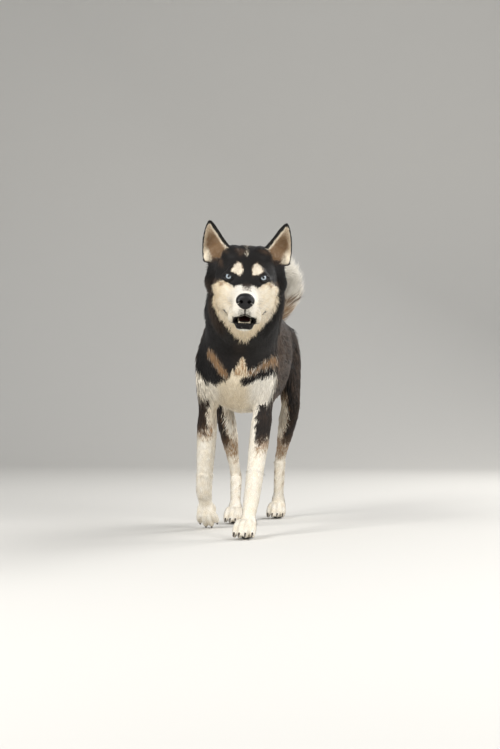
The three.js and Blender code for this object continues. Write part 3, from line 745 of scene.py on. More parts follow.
def headMarkings(local, normal):  # black, tan and cream of the head, and how bare the ear's hollow is
    s, f, u = local.T
    a = np.abs(s)
    hr = ragged(local + 13, 14) * 2.0 + ragged(local[:, [2, 1, 0]], 6) * 1.4
    lowest = np.interp(a, maskMarks["across"], maskMarks["low"])
    foremost = np.interp(a, (0, 8, 16, 26, 40), (-42, -39, -35, -32, -25))
    black = soft(u + hr * 0.8 - lowest, -2.5, 2.5) * soft(f + hr - foremost, -4, 4)
    wide = np.interp(u, maskMarks["height"], maskMarks["wide"])
    black = np.maximum(black, soft(a + hr * 1.4 - wide, -3, 4))
    fromMiddle = np.abs(s - maskMarks["middle"])
    brow = soft(insidePolygon(fromMiddle, u - 1.5, maskMarks["brow"]) + hr * 0.9, -1, 5) * (f < 40)
    eyeFar = np.sqrt((a - eye["side"]) ** 2 + (u * 1.2) ** 2)
    rim = soft(15.5 - eyeFar + hr * 0.4, 0, 3)
    black = np.maximum(black * (1 - brow), rim)
    blaze = 0.85 * soft(2.4 - a + hr * 0.1, 0, 1.0) * soft(u, 36, 44) * soft(-u, -62, -54)
    tan = 0.24 * brow + 1.5 * brow * (1 - brow) + 0.3 * blaze  # the pale marks fade out through brown
    black *= 1 - blaze
    # brown tips on the cap
    tan = np.maximum(tan, 0.4 * soft(ragged(local + 40, 44), 0, 0.6) * soft(u, 8, 24) * soft(f, 0, 20))
    # black between the eyes, grey-brown towards the nose
    bridge = soft(13.5 - fromMiddle + hr * 0.8, 0, 7) * soft(-f, 4, 12) * soft(f, -80, -68)
    black = np.maximum(black, bridge * (0.95 - 0.5 * soft(-f, 36, 60)))
    tan = np.maximum(tan, 0.42 * bridge * soft(-f, 26, 50))
    # brown shading off below the black
    under = soft(12 - (lowest - u) + hr, 0, 12) * (u < lowest) * soft(a, 26, 34) * soft(-a, -66, -56)
    under *= soft(f, -45, -30)
    tan = np.maximum(tan, 0.52 * under)
    # brown under the outer corner of the eye
    smudge = soft(12 - np.hypot(a - 54, (u + 18) / 1.1) + hr, 0, 10) * soft(f, -20, -5)
    black *= 1 - 0.45 * smudge
    tan = np.maximum(tan, 0.6 * smudge)
    # dark edge of the upper lip
    ends = maskMarks["lipEdge"]
    edgeFar = np.min([segmentFar(a, u, start, end) for start, end in zip(ends, ends[1:])], axis=0)
    black = np.maximum(black, soft(2.6 - edgeFar, 0, 1.4) * soft(f, -78, -68) * soft(-f, -42, -26))
    # brown along the edge of the pale mask; grey between the nose and the lip, partly the dark fur of the
    # upper lip and partly painted shadow of the nose
    tan = np.maximum(tan, 0.35 * soft(9 - np.abs(a - wide + 5 + hr), 0, 8) * (u < -12) * soft(f, -30, 0))
    black = np.maximum(black, 0.5 * (soft(19 - a + hr, 0, 9) * soft(-u, 50, 56) * soft(-f, 78, 86)))
    muzzle = soft(-f, 20, 50)
    cream = (0.5 + 0.4 * soft(a, 30, 66)) * (1 - muzzle * (0.3 + 0.7 * soft(30 - a, 0, 14)))
    cream = cream + 0.35 * soft(-u, 95, 130) + 0.2 * ragged(local + 3, 18)
    # painted light: less cream on the dog's left cheek, so it reads whiter, as if lit
    cream = np.where(brow > 0.3, 0.45, cream - 0.3 * soft(s, 34, 60))
    tan = np.maximum(tan, 0.2 * soft(-s, 30, 56) * soft(-u, 4, 30))  # painted shade: the dog's right cheek browner, as if in shade
    # ears
    ears, leafShare, inwards, across = earPlace(local)
    border = 6.5 + 4 * soft(-across, -4, 8)  # the black edge is broadest on the inner side and at the tip
    inEar = ears * soft(-normal[:, 1] + 0.35, 0.0, 0.25) * soft(inwards + hr * 0.5 - border, -1.2, 2.2)
    inEar *= soft(0.93 - leafShare, 0, 0.06)
    # darker deep in the hollow of the ear: partly its own browner, barer skin, partly painted shade of the
    # hollow
    deep = soft(inwards, 10, 21) * soft(0.85 - leafShare, 0, 0.4)
    black = black * (1 - ears) + ears * (1 - inEar) + 0.34 * deep * inEar
    fringe = soft(18 - inwards, 0, 5) * soft(-across, 0, 8)
    fringe = np.maximum(fringe, soft(0.4 - leafShare, 0, 0.2) * soft(across, 8, 18))
    tan = tan * (1 - ears) + inEar * (0.5 + 0.3 * deep) * (1 - 0.6 * fringe)
    cream = cream * (1 - ears) + 0.6 * inEar
    return black, tan, cream, 0.2 * deep * inEar


def bareSkin(local, normal):  # inside the mouth and under the nose leather; and the lower lip's black
    s, f, u = local.T
    a = np.abs(s)
    halfLip = np.interp(f, [-98, -86, -60, -20, 10], [6, 11, 16, 20, 24])
    jawLocal = moved(local, np.linalg.inv(jawTurn))
    palate = soft(-u, 70, 73) * soft(u, -88, -84) * (normal[:, 2] < -0.25) * soft(halfLip - a, -1, 1)
    palate = palate * (f < 6)
    onJaw = (jawLocal[:, 2] < -58) * (f < 12) * soft(27 - a, 0, 1)
    floorOf = soft(jawLocal[:, 2], -76, -74) * onJaw * soft(normal[:, 1], -0.5, -0.2)
    philtrum = soft(2.4 - a, 0, 1) * soft(-f, 84, 90) * (u < -48)
    leather = soft(-f, 90, 93) * soft(np.interp(u, (-52, -46, -36), (2, 8, 15)) - a, 0, 1) * (u > -54)
    lowerLip = 0.9 * soft(jawLocal[:, 2], -85, -82.5) * onJaw * soft(-f, 50, 62)
    return np.max([palate, floorOf, philtrum, leather], axis=0), lowerLip


def markings(p, weights, share, normal):  # black, tan, bare and cream shares of the coat at each point
    x, y, z = p.T
    n1, n2, n3 = ragged(p, 60), ragged(p[:, [1, 2, 0]] + 31, 22), ragged(p[:, [2, 0, 1]] + 77, 9)
    rough = n1 * 0.3 + n2 * 0.4 + n3 * 0.3
    frontLeg = weightOf(weights, "foreLeft", "foreRight")
    hindLeg = weightOf(weights, "hindLeft", "hindRight")
    low = weightOf(weights, "Lower", "Paw")
    # body: black back and flanks, grizzled lower down, white belly
    edge = np.interp(y, [-130, -90, -20, 60, 200, 320, 400, 480], [330, 322, 312, 305, 315, 325, 330, 380])
    edge = edge - 140 * hindLeg
    black = soft(z + 14 * rough, edge - 12, edge + 14) * (1 - low * (1 - hindLeg))
    grizzle = 0.22 + 0.26 * n2 + 0.16 * n3 + 0.14 * soft(-y, -140, -20)
    tan = np.clip(soft(np.abs(normal[:, 0]), 0.25, 0.8) * grizzle, 0, 0.75)
    tan = np.maximum(tan, 0.55 * soft(np.abs(z - edge - 4 + 12 * rough), 30, 10) * soft(y, -40, 20))
    # breast, seen from in front
    turn = math.radians(look["azimuth"])
    across = x * math.cos(turn) + y * math.sin(turn) + 3 * n3
    high = z + 3.5 * n2
    front = soft(-y, -5, 50) * (1 - low)
    chestBlack, chestTan = chestMarkings(across, high, z, n3)
    black = towards(black, chestBlack, front)
    tan = towards(tan, chestTan, front)
    # legs: black patches on the upper fore legs, hind legs white below the shank
    rightPatch = soft(-x + 5 * n2, 64, 74) * soft(z + 12 * n3, 226, 246) * soft(-z, -345, -300)
    leftPatch = soft(x + 5 * n2, 42, 54) * soft(z + 16 * n3 - 0.5 * (x - 60), 196, 222)
    breast = soft(-normal[:, 1], 0, 0.5) * soft(-y, -20, 30)  # runs down over the front of the leg's root
    leftPatch *= 1 - breast * soft(z + 8 * n3 - 0.3 * (x - 60), 290, 304)
    patch = np.maximum(rightPatch, leftPatch) * frontLeg
    black = np.maximum(black, patch)
    tan = np.maximum(tan, patch * (0.3 + 0.25 * n3))
    black *= 1 - hindLeg * soft(-z + 22 * rough, -214, -172)
    inner = soft(-normal[:, 0] * np.sign(x - 2) + 0.35 * rough, -0.1, 0.6) * soft(-z, -350, -300)
    black *= 1 - 0.85 * inner * np.maximum(hindLeg, frontLeg) * soft(y, -60, -30)
    tan = np.maximum(tan, 0.8 * soft(inner * (1 - inner), 0.08, 0.24) * hindLeg * soft(z, 178, 214))
    shankTan = 0.65 * hindLeg * soft(np.abs(z - 188 + 20 * rough), 46, 14)
    tan = np.maximum(tan * (1 - low * (1 - hindLeg)), shankTan)
    patchEnd = soft(np.abs(z - 238 + 12 * n3), 30, 8) * soft(-x, 58, 70)
    patchEnd += soft(np.abs(z - 204 + 14 * n3 - 0.5 * (x - 60)), 34, 8) * soft(x, 42, 54)
    tan = np.maximum(tan, 0.6 * frontLeg * patchEnd)
    # painted light and shade: cream whiter on both breasts, most on the dog's left one, as if lit, and more
    # cream between them, as if in shade
    breastLight = np.maximum(soft(across, 6, 34), 0.6 * soft(-across, 40, 60))
    cream = 0.26 + 0.22 * n2 + 0.24 * soft(z, 250, 330)
    cream = towards(cream, 0.72 - 0.62 * breastLight + 0.1 * n2, front)
    # painted shade: tan low down between the breasts
    tan = np.maximum(tan, 0.2 * front * (1 - breastLight) * soft(-z, -350, -310) * soft(z, 240, 270))
    # neck: black with paler grizzled flanks
    neckSide = weightOf(weights, "neck") * (1 - front)
    tan = np.maximum(tan, neckSide * (0.18 + 0.28 * n2 + 0.2 * n3) * soft(np.abs(normal[:, 0]), 0.3, 0.8))
    # tail: cream, with brown streaks low and towards the back
    tail = weightOf(weights, "tail")
    inward = soft(-(0.6 * (x - 42) + 0.8 * (z - 612)) + 22 * n2 + 14 * n3, -10, 44)
    tailBlack = tail * 0.75 * soft(n2 + 0.4 * n3, 0.1, 0.6) * soft(0.55 - share, 0, 0.3)
    tailTan = tail * np.clip(0.8 * inward + 0.12 * n3, 0, 0.85)
    black = black * (1 - tail) + tailBlack
    tan = tan * (1 - tail) + tailTan
    cream = towards(cream, 0.02 + 0.5 * inward, tail)
    # head
    local, inHead = headPart(p)
    headBlack, headTan, headCream, earBare = headMarkings(local, normal)
    headBare, lowerLip = bareSkin(local, normal)
    black = np.maximum(towards(black, headBlack, inHead), lowerLip * inHead)
    tan = towards(tan, headTan, inHead)
    cream = towards(cream, headCream, inHead)
    bare = np.maximum(headBare * inHead, earBare)
    bare = np.maximum(bare, weightOf(weights, "Paw") * soft(-z, -5, -2))
    return np.clip(black, 0, 1), np.clip(tan, 0, 1), np.clip(bare, 0, 1), np.clip(cream, 0, 1)


def vertexNormals(piece):
    flat = np.empty(len(piece.data.vertices) * 3, np.float32)
    piece.data.vertices.foreach_get("normal", flat)
    return flat.reshape(-1, 3).astype(float)


def store(mesh, name, kind, values, domain="POINT"):
    layer = mesh.attributes.new(name, kind, domain)
    key = "vector" if kind == "FLOAT_VECTOR" else "value"
    layer.data.foreach_set(key, np.asarray(values).ravel())


def dressSkin(piece):
    p = pointsOf(piece) * 1000 - shift
    normal = vertexNormals(piece)
    weights, way, share = nearest(p)[:3]
    local, inHead = headPart(p)
    s, f, u = local.T
    a = np.abs(s)
    # lie of the coat
    lie = way.copy()
    lie[:, 2] -= 0.35 * weightOf(weights, "torso") * soft(np.abs(normal[:, 0]), 0.2, 0.9)
    lie[:, 2] -= 0.5 * weightOf(weights, "neck") * (1 - normal[:, 2])
    facing = soft(-normal[:, 1], 0.1, 0.6) * weightOf(weights, "torso", "neck", "Upper")
    lie = towards(lie, (0, -0.15, -1.0), facing * soft(-p[:, 1], -60, 20))
    rear = soft(normal[:, 1], 0.0, 0.6) * soft(p[:, 1], 370, 430) * weightOf(weights, "torso", "Upper")
    lie = towards(lie, (0, 0.1, -1.0), rear)
    fan = 0.6 * weightOf(weights, "tail") * soft(-normal[:, 1], -0.3, 0.5)  # the brush opens up and outwards
    lie = towards(lie, (0.62, 0.1, 0.75), fan)
    back = np.stack([0.004 * s, np.ones(len(s)), 0.2 + 0 * s], 1)
    back[:, 0] += np.sign(s) * soft(f, -30, 30) * (0.5 + 0.35 * soft(-u, 0, 60))
    back[:, 2] += np.where(u > 0, 0.25, -0.35) * soft(f, -20, 20)
    beard = soft(-u, 66, 100) * soft(f, -70, -30)  # hangs straight down under the jaw
    back[:, 0] *= 1 - 0.75 * beard
    back[:, 1] *= 1 - 0.5 * beard
    back[:, 2] -= 0.9 * soft(-u, 30, 70) * soft(a, 30, 60) + 0.9 * beard
    # the ruff hangs beside the cheeks
    back[:, 2] -= 1.2 * soft(a, 46, 64) * soft(f, 14, 50) * soft(-u, -34, 0)
    ears, leafShare, inwards, earAcross = earPlace(local)
    ears = ears * inHead
    inner, outer, tip = (np.array(ear[k], float) for k in ("inner", "outer", "tip"))
    leaf = tip - (inner + outer) / 2
    leafWay = np.stack([np.sign(s) * leaf[0], np.full(len(s), leaf[1]), np.full(len(s), leaf[2])], 1)
    back = towards(back, leafWay / np.linalg.norm(leaf), ears)
    lie = towards(lie, back @ headPlace[:3, :3].T, inHead)
    lie += 0.22 * np.stack([ragged(p, 90), ragged(p[:, [1, 2, 0]], 80), ragged(p[:, [2, 0, 1]], 70)], 1)
    lie -= normal * (lie * normal).sum(1, keepdims=True)
    lie /= np.maximum(np.linalg.norm(lie, axis=1, keepdims=True), 1e-6)
    # length, width and lift
    size = np.zeros((len(p), 3))
    for word, values in coat.items():
        size += weightOf(weights, word)[:, None] * np.array(values)
    wide = np.interp(u, maskMarks["height"], maskMarks["wide"])
    ruff = soft(a, 48, 62) * soft(f, 10, 46) * soft(-u, -36, 0)
    ruff *= np.maximum(soft(a - wide, -4, 5), soft(u, -14, -4))
    headLength = 4.5 + 3.5 * soft(f, -70, -20) + 6 * soft(f, 0, 60) + 6 * soft(-u, 45, 95) * soft(f, 10, 50)
    headWidth = 1.0 + 0.2 * soft(f, -40, 20) + 0.4 * soft(f, 20, 80) + 0.35 * ruff
    headLift = 0.1 + 0.06 * soft(f, 10, 60) + 0.14 * ruff
    size = towards(size, np.stack([headLength + 20 * ruff, headWidth, headLift], 1), inHead)
    earSize = np.tile(np.array(coatPlaces["ear"]), (len(p), 1))
    earSize[:, 0] += 5 * soft(-earAcross, 8, 22) * soft(0.6 - leafShare, 0, 0.3) * soft(inwards, 4, 8)
    size = towards(size, earSize, ears)
    earRoot = soft(a, 66, 78) * soft(f, 40, 56) * soft(u, -14, 0) * soft(-u, -30, -16)
    size[:, 0] *= 1 - 0.6 * earRoot
    size[:, 2] *= 1 - 0.5 * earRoot
    bib = soft(-p[:, 1], 20, 90) * weightOf(weights, "neck", "torso", "Upper") * (1 - inHead)
    bib *= 1 - soft(normal[:, 2] + normal[:, 1], -0.1, 0.5)
    size = towards(size, coatPlaces["bib"], bib)
    breech = soft(p[:, 1], 395, 450) * soft(-p[:, 2], -470, -400) * weightOf(weights, "Upper", "torso")
    shank = weightOf(weights, "hindLeftLower", "hindRightLower") * soft(p[:, 2], 150, 240)
    size += breech[:, None] * np.array(coatPlaces["breech"])
    size += shank[:, None] * np.array(coatPlaces["shank"])
    length, width, lift = size.T
    # short round the eyes and the nose
    eyeFar = np.sqrt((a - eye["side"]) ** 2 + (f - eye["back"]) ** 2 + u ** 2)
    noseFar = np.sqrt((a * 0.6) ** 2 + (f + 95) ** 2 + ((u + 42) * 0.7) ** 2)
    longest = np.minimum(2.2 + np.maximum(eyeFar - 14, 0) * 0.35, 3.0 + np.maximum(noseFar - 16, 0) * 0.2)
    length = np.where(inHead > 0.5, np.minimum(length, longest), length)
    # colour belongs to the middle of a tuft, not its root
    onward = p + lie * (length * (0.5 + 0.2 * bib) * (1 - 0.6 * inHead))[:, None]
    black, tan, bare, cream = markings(onward, weights, share, normal)
    bare = np.maximum(bare, markings(p, weights, share, normal)[2])
    opened = (bare < 0.3) & ~((inHead > 0.5) & (eyeFar < 13.2))
    part = np.full(len(p), partNumber["body"])
    part[weightOf(weights, "Lower", "Paw") > 0.5] = partNumber["legs"]
    part[weightOf(weights, "tail") > 0.5] = partNumber["tail"]
    part[inHead > 0.5] = partNumber["head"]
    part[(inHead > 0.5) & (f < 24) & (ears < 0.5)] = partNumber["muzzle"]
    part[(part == partNumber["body"]) & (bib > 0.4)] = partNumber["chest"]
    mesh = piece.data
    store(mesh, "coatLie", "FLOAT_VECTOR", lie)
    store(mesh, "coatSize", "FLOAT_VECTOR", np.stack([width, length, lift * length], 1) / 1000)
    store(mesh, "marking", "FLOAT_VECTOR", np.stack([black, tan, bare], 1))
    store(mesh, "cream", "FLOAT", cream)
    store(mesh, "part", "INT", part.astype(np.int32))
    store(mesh, "coatOpen", "FLOAT", opened.astype(float))


dressSkin(skin)
print("skin dressed")


# Node trees

def nodeIn(tree, kind, links=(), **settings):  # one node, its settings and what feeds it
    node = tree.nodes.new(kind)
    for key, value in settings.items():
        setattr(node, key, value)
    for socket, source in dict(links).items():
        target = node.inputs[socket]
        if isinstance(source, bpy.types.NodeSocket):
            tree.links.new(source, target)
        else:
            target.default_value = source
    return node


def colour(hexText):
    parts = [int(hexText[i:i + 2], 16) / 255 for i in (1, 3, 5)]
    return (*[c / 12.92 if c <= 0.04045 else ((c + 0.055) / 1.055) ** 2.4 for c in parts], 1)


# One lock along +Y, 1 long and 1 wide, root buried a little
def tuftShape(name, rows, bend, forks, ridge, seed):
    draw = np.random.default_rng(seed)
    points, faces, along, sideways = [], [], [], []
    for fork in range(forks):
        drift = (fork - (forks - 1) / 2) * 0.5 + draw.uniform(-0.12, 0.12)
        reach = 1 - 0.22 * draw.random() * (forks > 1)
        sway = draw.uniform(-0.25, 0.25)
        first = len(points)
        for t, w in rows:
            across = drift * (0.35 + 0.65 * t) + sway * t * t
            high = bend(t)
            half = w / 2 / (forks ** 0.6)
            points += [(across - half, t * reach, high), (across + half, t * reach, high),
                       (across, t * reach, high + (w + 0.12) * ridge)]
            along += [t] * 3
            sideways += [0, 1, 0.5]
        tip = len(points)
        points.append((drift + sway * 1.1, reach, bend(1)))
        along.append(1)
        sideways.append(0.5)
        count = len(rows)
        faces.append((first, first + 2, first + 1))
        for r in range(count - 1):
            a, b = first + r * 3, first + r * 3 + 3
            faces += [(a + i, a + (i + 1) % 3, b + (i + 1) % 3, b + i) for i in range(3)]
        last = first + (count - 1) * 3
        faces += [(last + i, last + (i + 1) % 3, tip) for i in range(3)]
    points = np.array(points, float)
    faces = outward(points, faces)
    piece = makeObject(name, points, faces)
    store(piece.data, "alongTuft", "FLOAT", np.array(along, float))
    store(piece.data, "acrossTuft", "FLOAT", np.array(sideways, float))
    return piece


def tuftSet(name, rows, bend, forks, ridge, number=4):
    group = bpy.data.collections.new(name)
    for k in range(number):
        piece = tuftShape(f"{name}{k}", rows, bend, forks, ridge, k + 11)
        bpy.context.scene.collection.objects.unlink(piece)
        group.objects.link(piece)
    return group


def coatTree():
    tree = bpy.data.node_groups.new("coat", "GeometryNodeTree")
    inputs = {"Skin": ("Geometry", None), "Part": ("Int", 0), "Spacing": ("Float", 0.004),
              "Length": ("Float", 1.0), "Width": ("Float", 1.0), "Seed": ("Int", 3),
              "Tufts": ("Collection", None), "Material": ("Material", None)}
    sockets = {}
    for label, (kind, value) in inputs.items():
        socket = tree.interface.new_socket(label, in_out="INPUT", socket_type="NodeSocket" + kind)
        if value is not None:
            socket.default_value = value
        sockets[label] = socket.identifier
    tree.interface.new_socket("Coat", in_out="OUTPUT", socket_type="NodeSocketGeometry")
    given = tree.nodes.new("NodeGroupInput")
    # one root for each tuft, only on this run's part of the skin
    part = nodeIn(tree, "GeometryNodeInputNamedAttribute", {"Name": "part"}, data_type="INT")
    isPart = nodeIn(tree, "FunctionNodeCompare", data_type="INT", operation="EQUAL")
    tree.links.new(part.outputs["Attribute"], isPart.inputs[2])
    tree.links.new(given.outputs["Part"], isPart.inputs[3])
    isOpen = nodeIn(tree, "GeometryNodeInputNamedAttribute", {"Name": "coatOpen"}, data_type="FLOAT")
    scatter = nodeIn(tree, "GeometryNodeDistributePointsOnFaces", {
        "Mesh": given.outputs["Skin"], "Distance Min": given.outputs["Spacing"],
        "Selection": isPart.outputs[0], "Density Factor": isOpen.outputs["Attribute"],
        "Seed": given.outputs["Seed"]}, distribute_method="POISSON")
    scatter.inputs["Density Max"].default_value = 1500000
    # its direction: the lie of the hair, a little astray
    lie = nodeIn(tree, "GeometryNodeInputNamedAttribute", {"Name": "coatLie"}, data_type="FLOAT_VECTOR")
    stray = nodeIn(tree, "FunctionNodeRandomValue", {"Seed": 5}, data_type="FLOAT_VECTOR")
    stray.inputs[0].default_value = (-0.26,) * 3
    stray.inputs[1].default_value = (0.26,) * 3
    strayed = nodeIn(tree, "ShaderNodeVectorMath", {0: lie.outputs["Attribute"], 1: stray.outputs[0]},
                     operation="ADD")
    turn = nodeIn(tree, "FunctionNodeAxesToRotation", {
        "Primary Axis": scatter.outputs["Normal"], "Secondary Axis": strayed.outputs[0]},
        primary_axis="Z", secondary_axis="Y")
    # its size
    size = nodeIn(tree, "GeometryNodeInputNamedAttribute", {"Name": "coatSize"}, data_type="FLOAT_VECTOR")
    scales = nodeIn(tree, "ShaderNodeCombineXYZ", {
        "X": given.outputs["Width"], "Y": given.outputs["Length"], "Z": given.outputs["Length"]})
    sized = nodeIn(tree, "ShaderNodeVectorMath", {0: size.outputs["Attribute"], 1: scales.outputs[0]},
                   operation="MULTIPLY")
    vary = nodeIn(tree, "FunctionNodeRandomValue", {"Seed": 9}, data_type="FLOAT_VECTOR")
    vary.inputs[0].default_value = (0.75, 0.72, 0.45)
    vary.inputs[1].default_value = (1.25, 1.18, 1.45)
    varied = nodeIn(tree, "ShaderNodeVectorMath", {0: sized.outputs[0], 1: vary.outputs[0]},
                    operation="MULTIPLY")
    # what it keeps of its root
    place = tree.nodes.new("GeometryNodeInputPosition")
    chance = nodeIn(tree, "FunctionNodeRandomValue", {"Seed": 17}, data_type="FLOAT")
    kept = (("rootPlace", "FLOAT_VECTOR", place.outputs[0]),
            ("rootNormal", "FLOAT_VECTOR", scatter.outputs["Normal"]),
            ("tuftChance", "FLOAT", chance.outputs[1]))
    points = scatter.outputs["Points"]
    for name, kind, value in kept:
        points = nodeIn(tree, "GeometryNodeStoreNamedAttribute", {
            "Geometry": points, "Name": name, "Value": value}, data_type=kind).outputs[0]
    tufts = nodeIn(tree, "GeometryNodeCollectionInfo", {
        "Collection": given.outputs["Tufts"], "Separate Children": True, "Reset Children": True})
    copies = nodeIn(tree, "GeometryNodeInstanceOnPoints", {
        "Points": points, "Instance": tufts.outputs[0], "Pick Instance": True,
        "Rotation": turn.outputs[0], "Scale": varied.outputs[0]})
    real = nodeIn(tree, "GeometryNodeRealizeInstances", {"Geometry": copies.outputs[0]})
    painted = nodeIn(tree, "GeometryNodeSetMaterial", {
        "Geometry": real.outputs[0], "Material": given.outputs["Material"]})
    end = tree.nodes.new("NodeGroupOutput")
    tree.links.new(painted.outputs[0], end.inputs[0])
    return tree, sockets


# Materials

def newMaterial(name):
    material = bpy.data.materials.new(name)
    material.use_nodes = True
    tree = material.node_tree
    shader = tree.nodes["Principled BSDF"]
    return material, tree, shader


furLook = {  # dark and light end of each colour
    "black": ("#040303", "#17120f"), "tan": ("#6b4e35", "#a07f5a"), "white": ("#e4dccd", "#faf5ea"),
    "cream": ("#d2bc95", "#ecdab8"), "bare": ("#0d0808", "#241615"), "grizzleTip": "#7b6049",
}


def furMaterial(name, tuft):  # guard hairs over dense underwool: matt, softly shining along the lie
    material, tree, shader = newMaterial(name)
    marking = nodeIn(tree, "ShaderNodeAttribute", attribute_name="marking")
    shares = nodeIn(tree, "ShaderNodeSeparateXYZ", {0: marking.outputs["Vector"]})
    if tuft:
        chance = nodeIn(tree, "ShaderNodeAttribute", attribute_name="tuftChance").outputs["Fac"]
        along = nodeIn(tree, "ShaderNodeAttribute", attribute_name="alongTuft").outputs["Fac"]
        across = nodeIn(tree, "ShaderNodeAttribute", attribute_name="acrossTuft").outputs["Fac"]
        ownPlace = nodeIn(tree, "ShaderNodeCombineXYZ", {0: across, 1: along, 2: chance})
        strands = nodeIn(tree, "ShaderNodeMapping", {"Vector": ownPlace.outputs[0]})
        strands.inputs["Scale"].default_value = (5.0, 0.9, 60.0)
        # hairs run along the tuft
        hair = nodeIn(tree, "ShaderNodeTexNoise", {"Vector": strands.outputs[0], "Scale": 1.0, "Detail": 1.0})
    else:
        place = nodeIn(tree, "ShaderNodeTexCoord").outputs["Object"]
        # single hairs, about 1.5 mm, and clumps, about 25 mm
        hair = nodeIn(tree, "ShaderNodeTexNoise", {"Vector": place, "Scale": 620.0, "Detail": 2.0})
        patch = nodeIn(tree, "ShaderNodeTexNoise", {"Vector": place, "Scale": 42.0, "Detail": 3.0})
        chance = hair.outputs["Fac"]
        # the skin under the coat takes the painted shade of a tuft's root, varying from clump to clump
        along = nodeIn(tree, "ShaderNodeMath", {0: patch.outputs["Fac"], 1: 0.4},
                       operation="MULTIPLY").outputs[0]
    mixed = nodeIn(tree, "ShaderNodeMath", {0: chance, 1: 0.45, 2: hair.outputs["Fac"]},
                   operation="MULTIPLY_ADD").outputs[0]
    shade = nodeIn(tree, "ShaderNodeMapRange", {"Value": mixed, "From Min": 0.3, "From Max": 1.05}).outputs[0]

    def mix(share, low, high):
        return nodeIn(tree, "ShaderNodeMix", {0: share, 6: low, 7: high}, data_type="RGBA").outputs[2]

    def pair(key):
        low, high = furLook[key]
        return mix(shade, colour(low), colour(high))

    def sharpened(value):  # each tuft takes one colour or the other near a border
        jitter = nodeIn(tree, "ShaderNodeMath", {0: chance, 1: 0.5, 2: value}, operation="MULTIPLY_ADD")
        return nodeIn(tree, "ShaderNodeMapRange", {
            "Value": jitter.outputs[0], "From Min": 0.52, "From Max": 0.98}).outputs[0]

    creamShare = nodeIn(tree, "ShaderNodeAttribute", attribute_name="cream").outputs["Fac"]
    pale = mix(creamShare, pair("white"), pair("cream"))
    tanned = mix(sharpened(shares.outputs[1]), pale, pair("tan"))
    tipShare = nodeIn(tree, "ShaderNodeMath", {0: along, 1: shares.outputs[1]},
                      operation="MULTIPLY").outputs[0]
    tipped = mix(tipShare, pair("black"), colour(furLook["grizzleTip"]))
    marked = mix(sharpened(shares.outputs[0]), tanned, tipped)
    naked = mix(shares.outputs[2], marked, pair("bare"))
    # painted shade: darker at the roots, where the coat shades itself, and between the strands, with the
    # strands varying in tone
    root = nodeIn(tree, "ShaderNodeMapRange", {
        "Value": along, "From Min": 0.0, "From Max": 0.55, "To Min": 0.85, "To Max": 1.0}).outputs[0]
    strand = nodeIn(tree, "ShaderNodeMapRange", {
        "Value": hair.outputs["Fac"], "From Min": 0.3, "From Max": 0.7, "To Min": 0.84,
        "To Max": 1.06}).outputs[0]
    depth = nodeIn(tree, "ShaderNodeMath", {0: root, 1: strand}, operation="MULTIPLY").outputs[0]
    grey = nodeIn(tree, "ShaderNodeCombineColor", {0: depth, 1: depth, 2: depth})
    shaded = nodeIn(tree, "ShaderNodeMix", {0: 1.0, 6: naked, 7: grey.outputs[0]}, data_type="RGBA",
                    blend_type="MULTIPLY")
    tree.links.new(shaded.outputs[2], shader.inputs["Base Color"])
    bump = nodeIn(tree, "ShaderNodeBump",
                  {"Height": hair.outputs["Fac"], "Strength": 0.35, "Distance": 0.0008})
    tree.links.new(bump.outputs[0], shader.inputs["Normal"])
    shader.inputs["Roughness"].default_value = 0.62
    shader.inputs["Specular IOR Level"].default_value = 0.2
    shader.inputs["Sheen Weight"].default_value = 0.05
    shader.inputs["Sheen Roughness"].default_value = 0.5
    return material


def grained(name, low, high, scale, roughness, bump=0.0, **levels):  # two colours in a fine grain
    material, tree, shader = newMaterial(name)
    place = nodeIn(tree, "ShaderNodeTexCoord")
    grain = nodeIn(tree, "ShaderNodeTexNoise", {
        "Vector": place.outputs["Object"], "Scale": scale, "Detail": 4.0})
    mix = nodeIn(tree, "ShaderNodeMix", {0: grain.outputs["Fac"], 6: colour(low), 7: colour(high)},
                 data_type="RGBA")
    tree.links.new(mix.outputs[2], shader.inputs["Base Color"])
    if bump:
        height = nodeIn(tree, "ShaderNodeBump", {
            "Height": grain.outputs["Fac"], "Strength": bump, "Distance": 0.0004})
        tree.links.new(height.outputs[0], shader.inputs["Normal"])
    shader.inputs["Roughness"].default_value = roughness
    for socket, value in levels.items():
        shader.inputs[socket.replace("_", " ")].default_value = value
    return material


skinMaterial = furMaterial("undercoat", False)
coatMaterial = furMaterial("guard_hair", True)
skin.data.materials.clear()
skin.data.materials.append(skinMaterial)


# The coat: one run of the tree for each region

def rise(sink, top):  # how high a lock stands along its length, in its own lift
    return lambda t: -sink * (1 - t) ** 3 + t - top * t * t


shortRows = [(0, 0.55), (0.5, 0.95)]
longRows = [(0, 0.5), (0.35, 1.0), (0.72, 0.72)]
regions = {  # spacing in millimetres, tufts, forks, and ridge and root as shares of the lift
    "muzzle": {"spacing": 1.2, "own": 0.25, "rows": shortRows, "forks": 1},
    "head": {"spacing": 1.4, "ridge": 0.1, "own": 0.3, "rows": shortRows, "forks": 1},
    "body": {"spacing": 3.3, "width": 0.6, "ridge": 0.08, "rows": longRows, "forks": 1},
    "chest": {"spacing": 2.0, "width": 0.78, "ridge": 0.13, "own": 0.35, "rows": longRows, "forks": 1},
    "tail": {"spacing": 0.74, "width": 0.19, "own": 0.5, "ridge": 0.014, "sink": 0.08, "rows": longRows,
             "forks": 1},
    "legs": {"spacing": 2.1, "own": 0.28, "width": 0.8, "length": 0.9, "rows": shortRows, "forks": 1},
}
mostTriangles = 190000  # in one piece
carried = {  # what a tuft keeps of its place, and how many numbers that takes
    "rootPlace": 3, "rootNormal": 3, "marking": 3, "cream": 1, "tuftChance": 1, "alongTuft": 1,
    "acrossTuft": 1,
}
tree, sockets = coatTree()


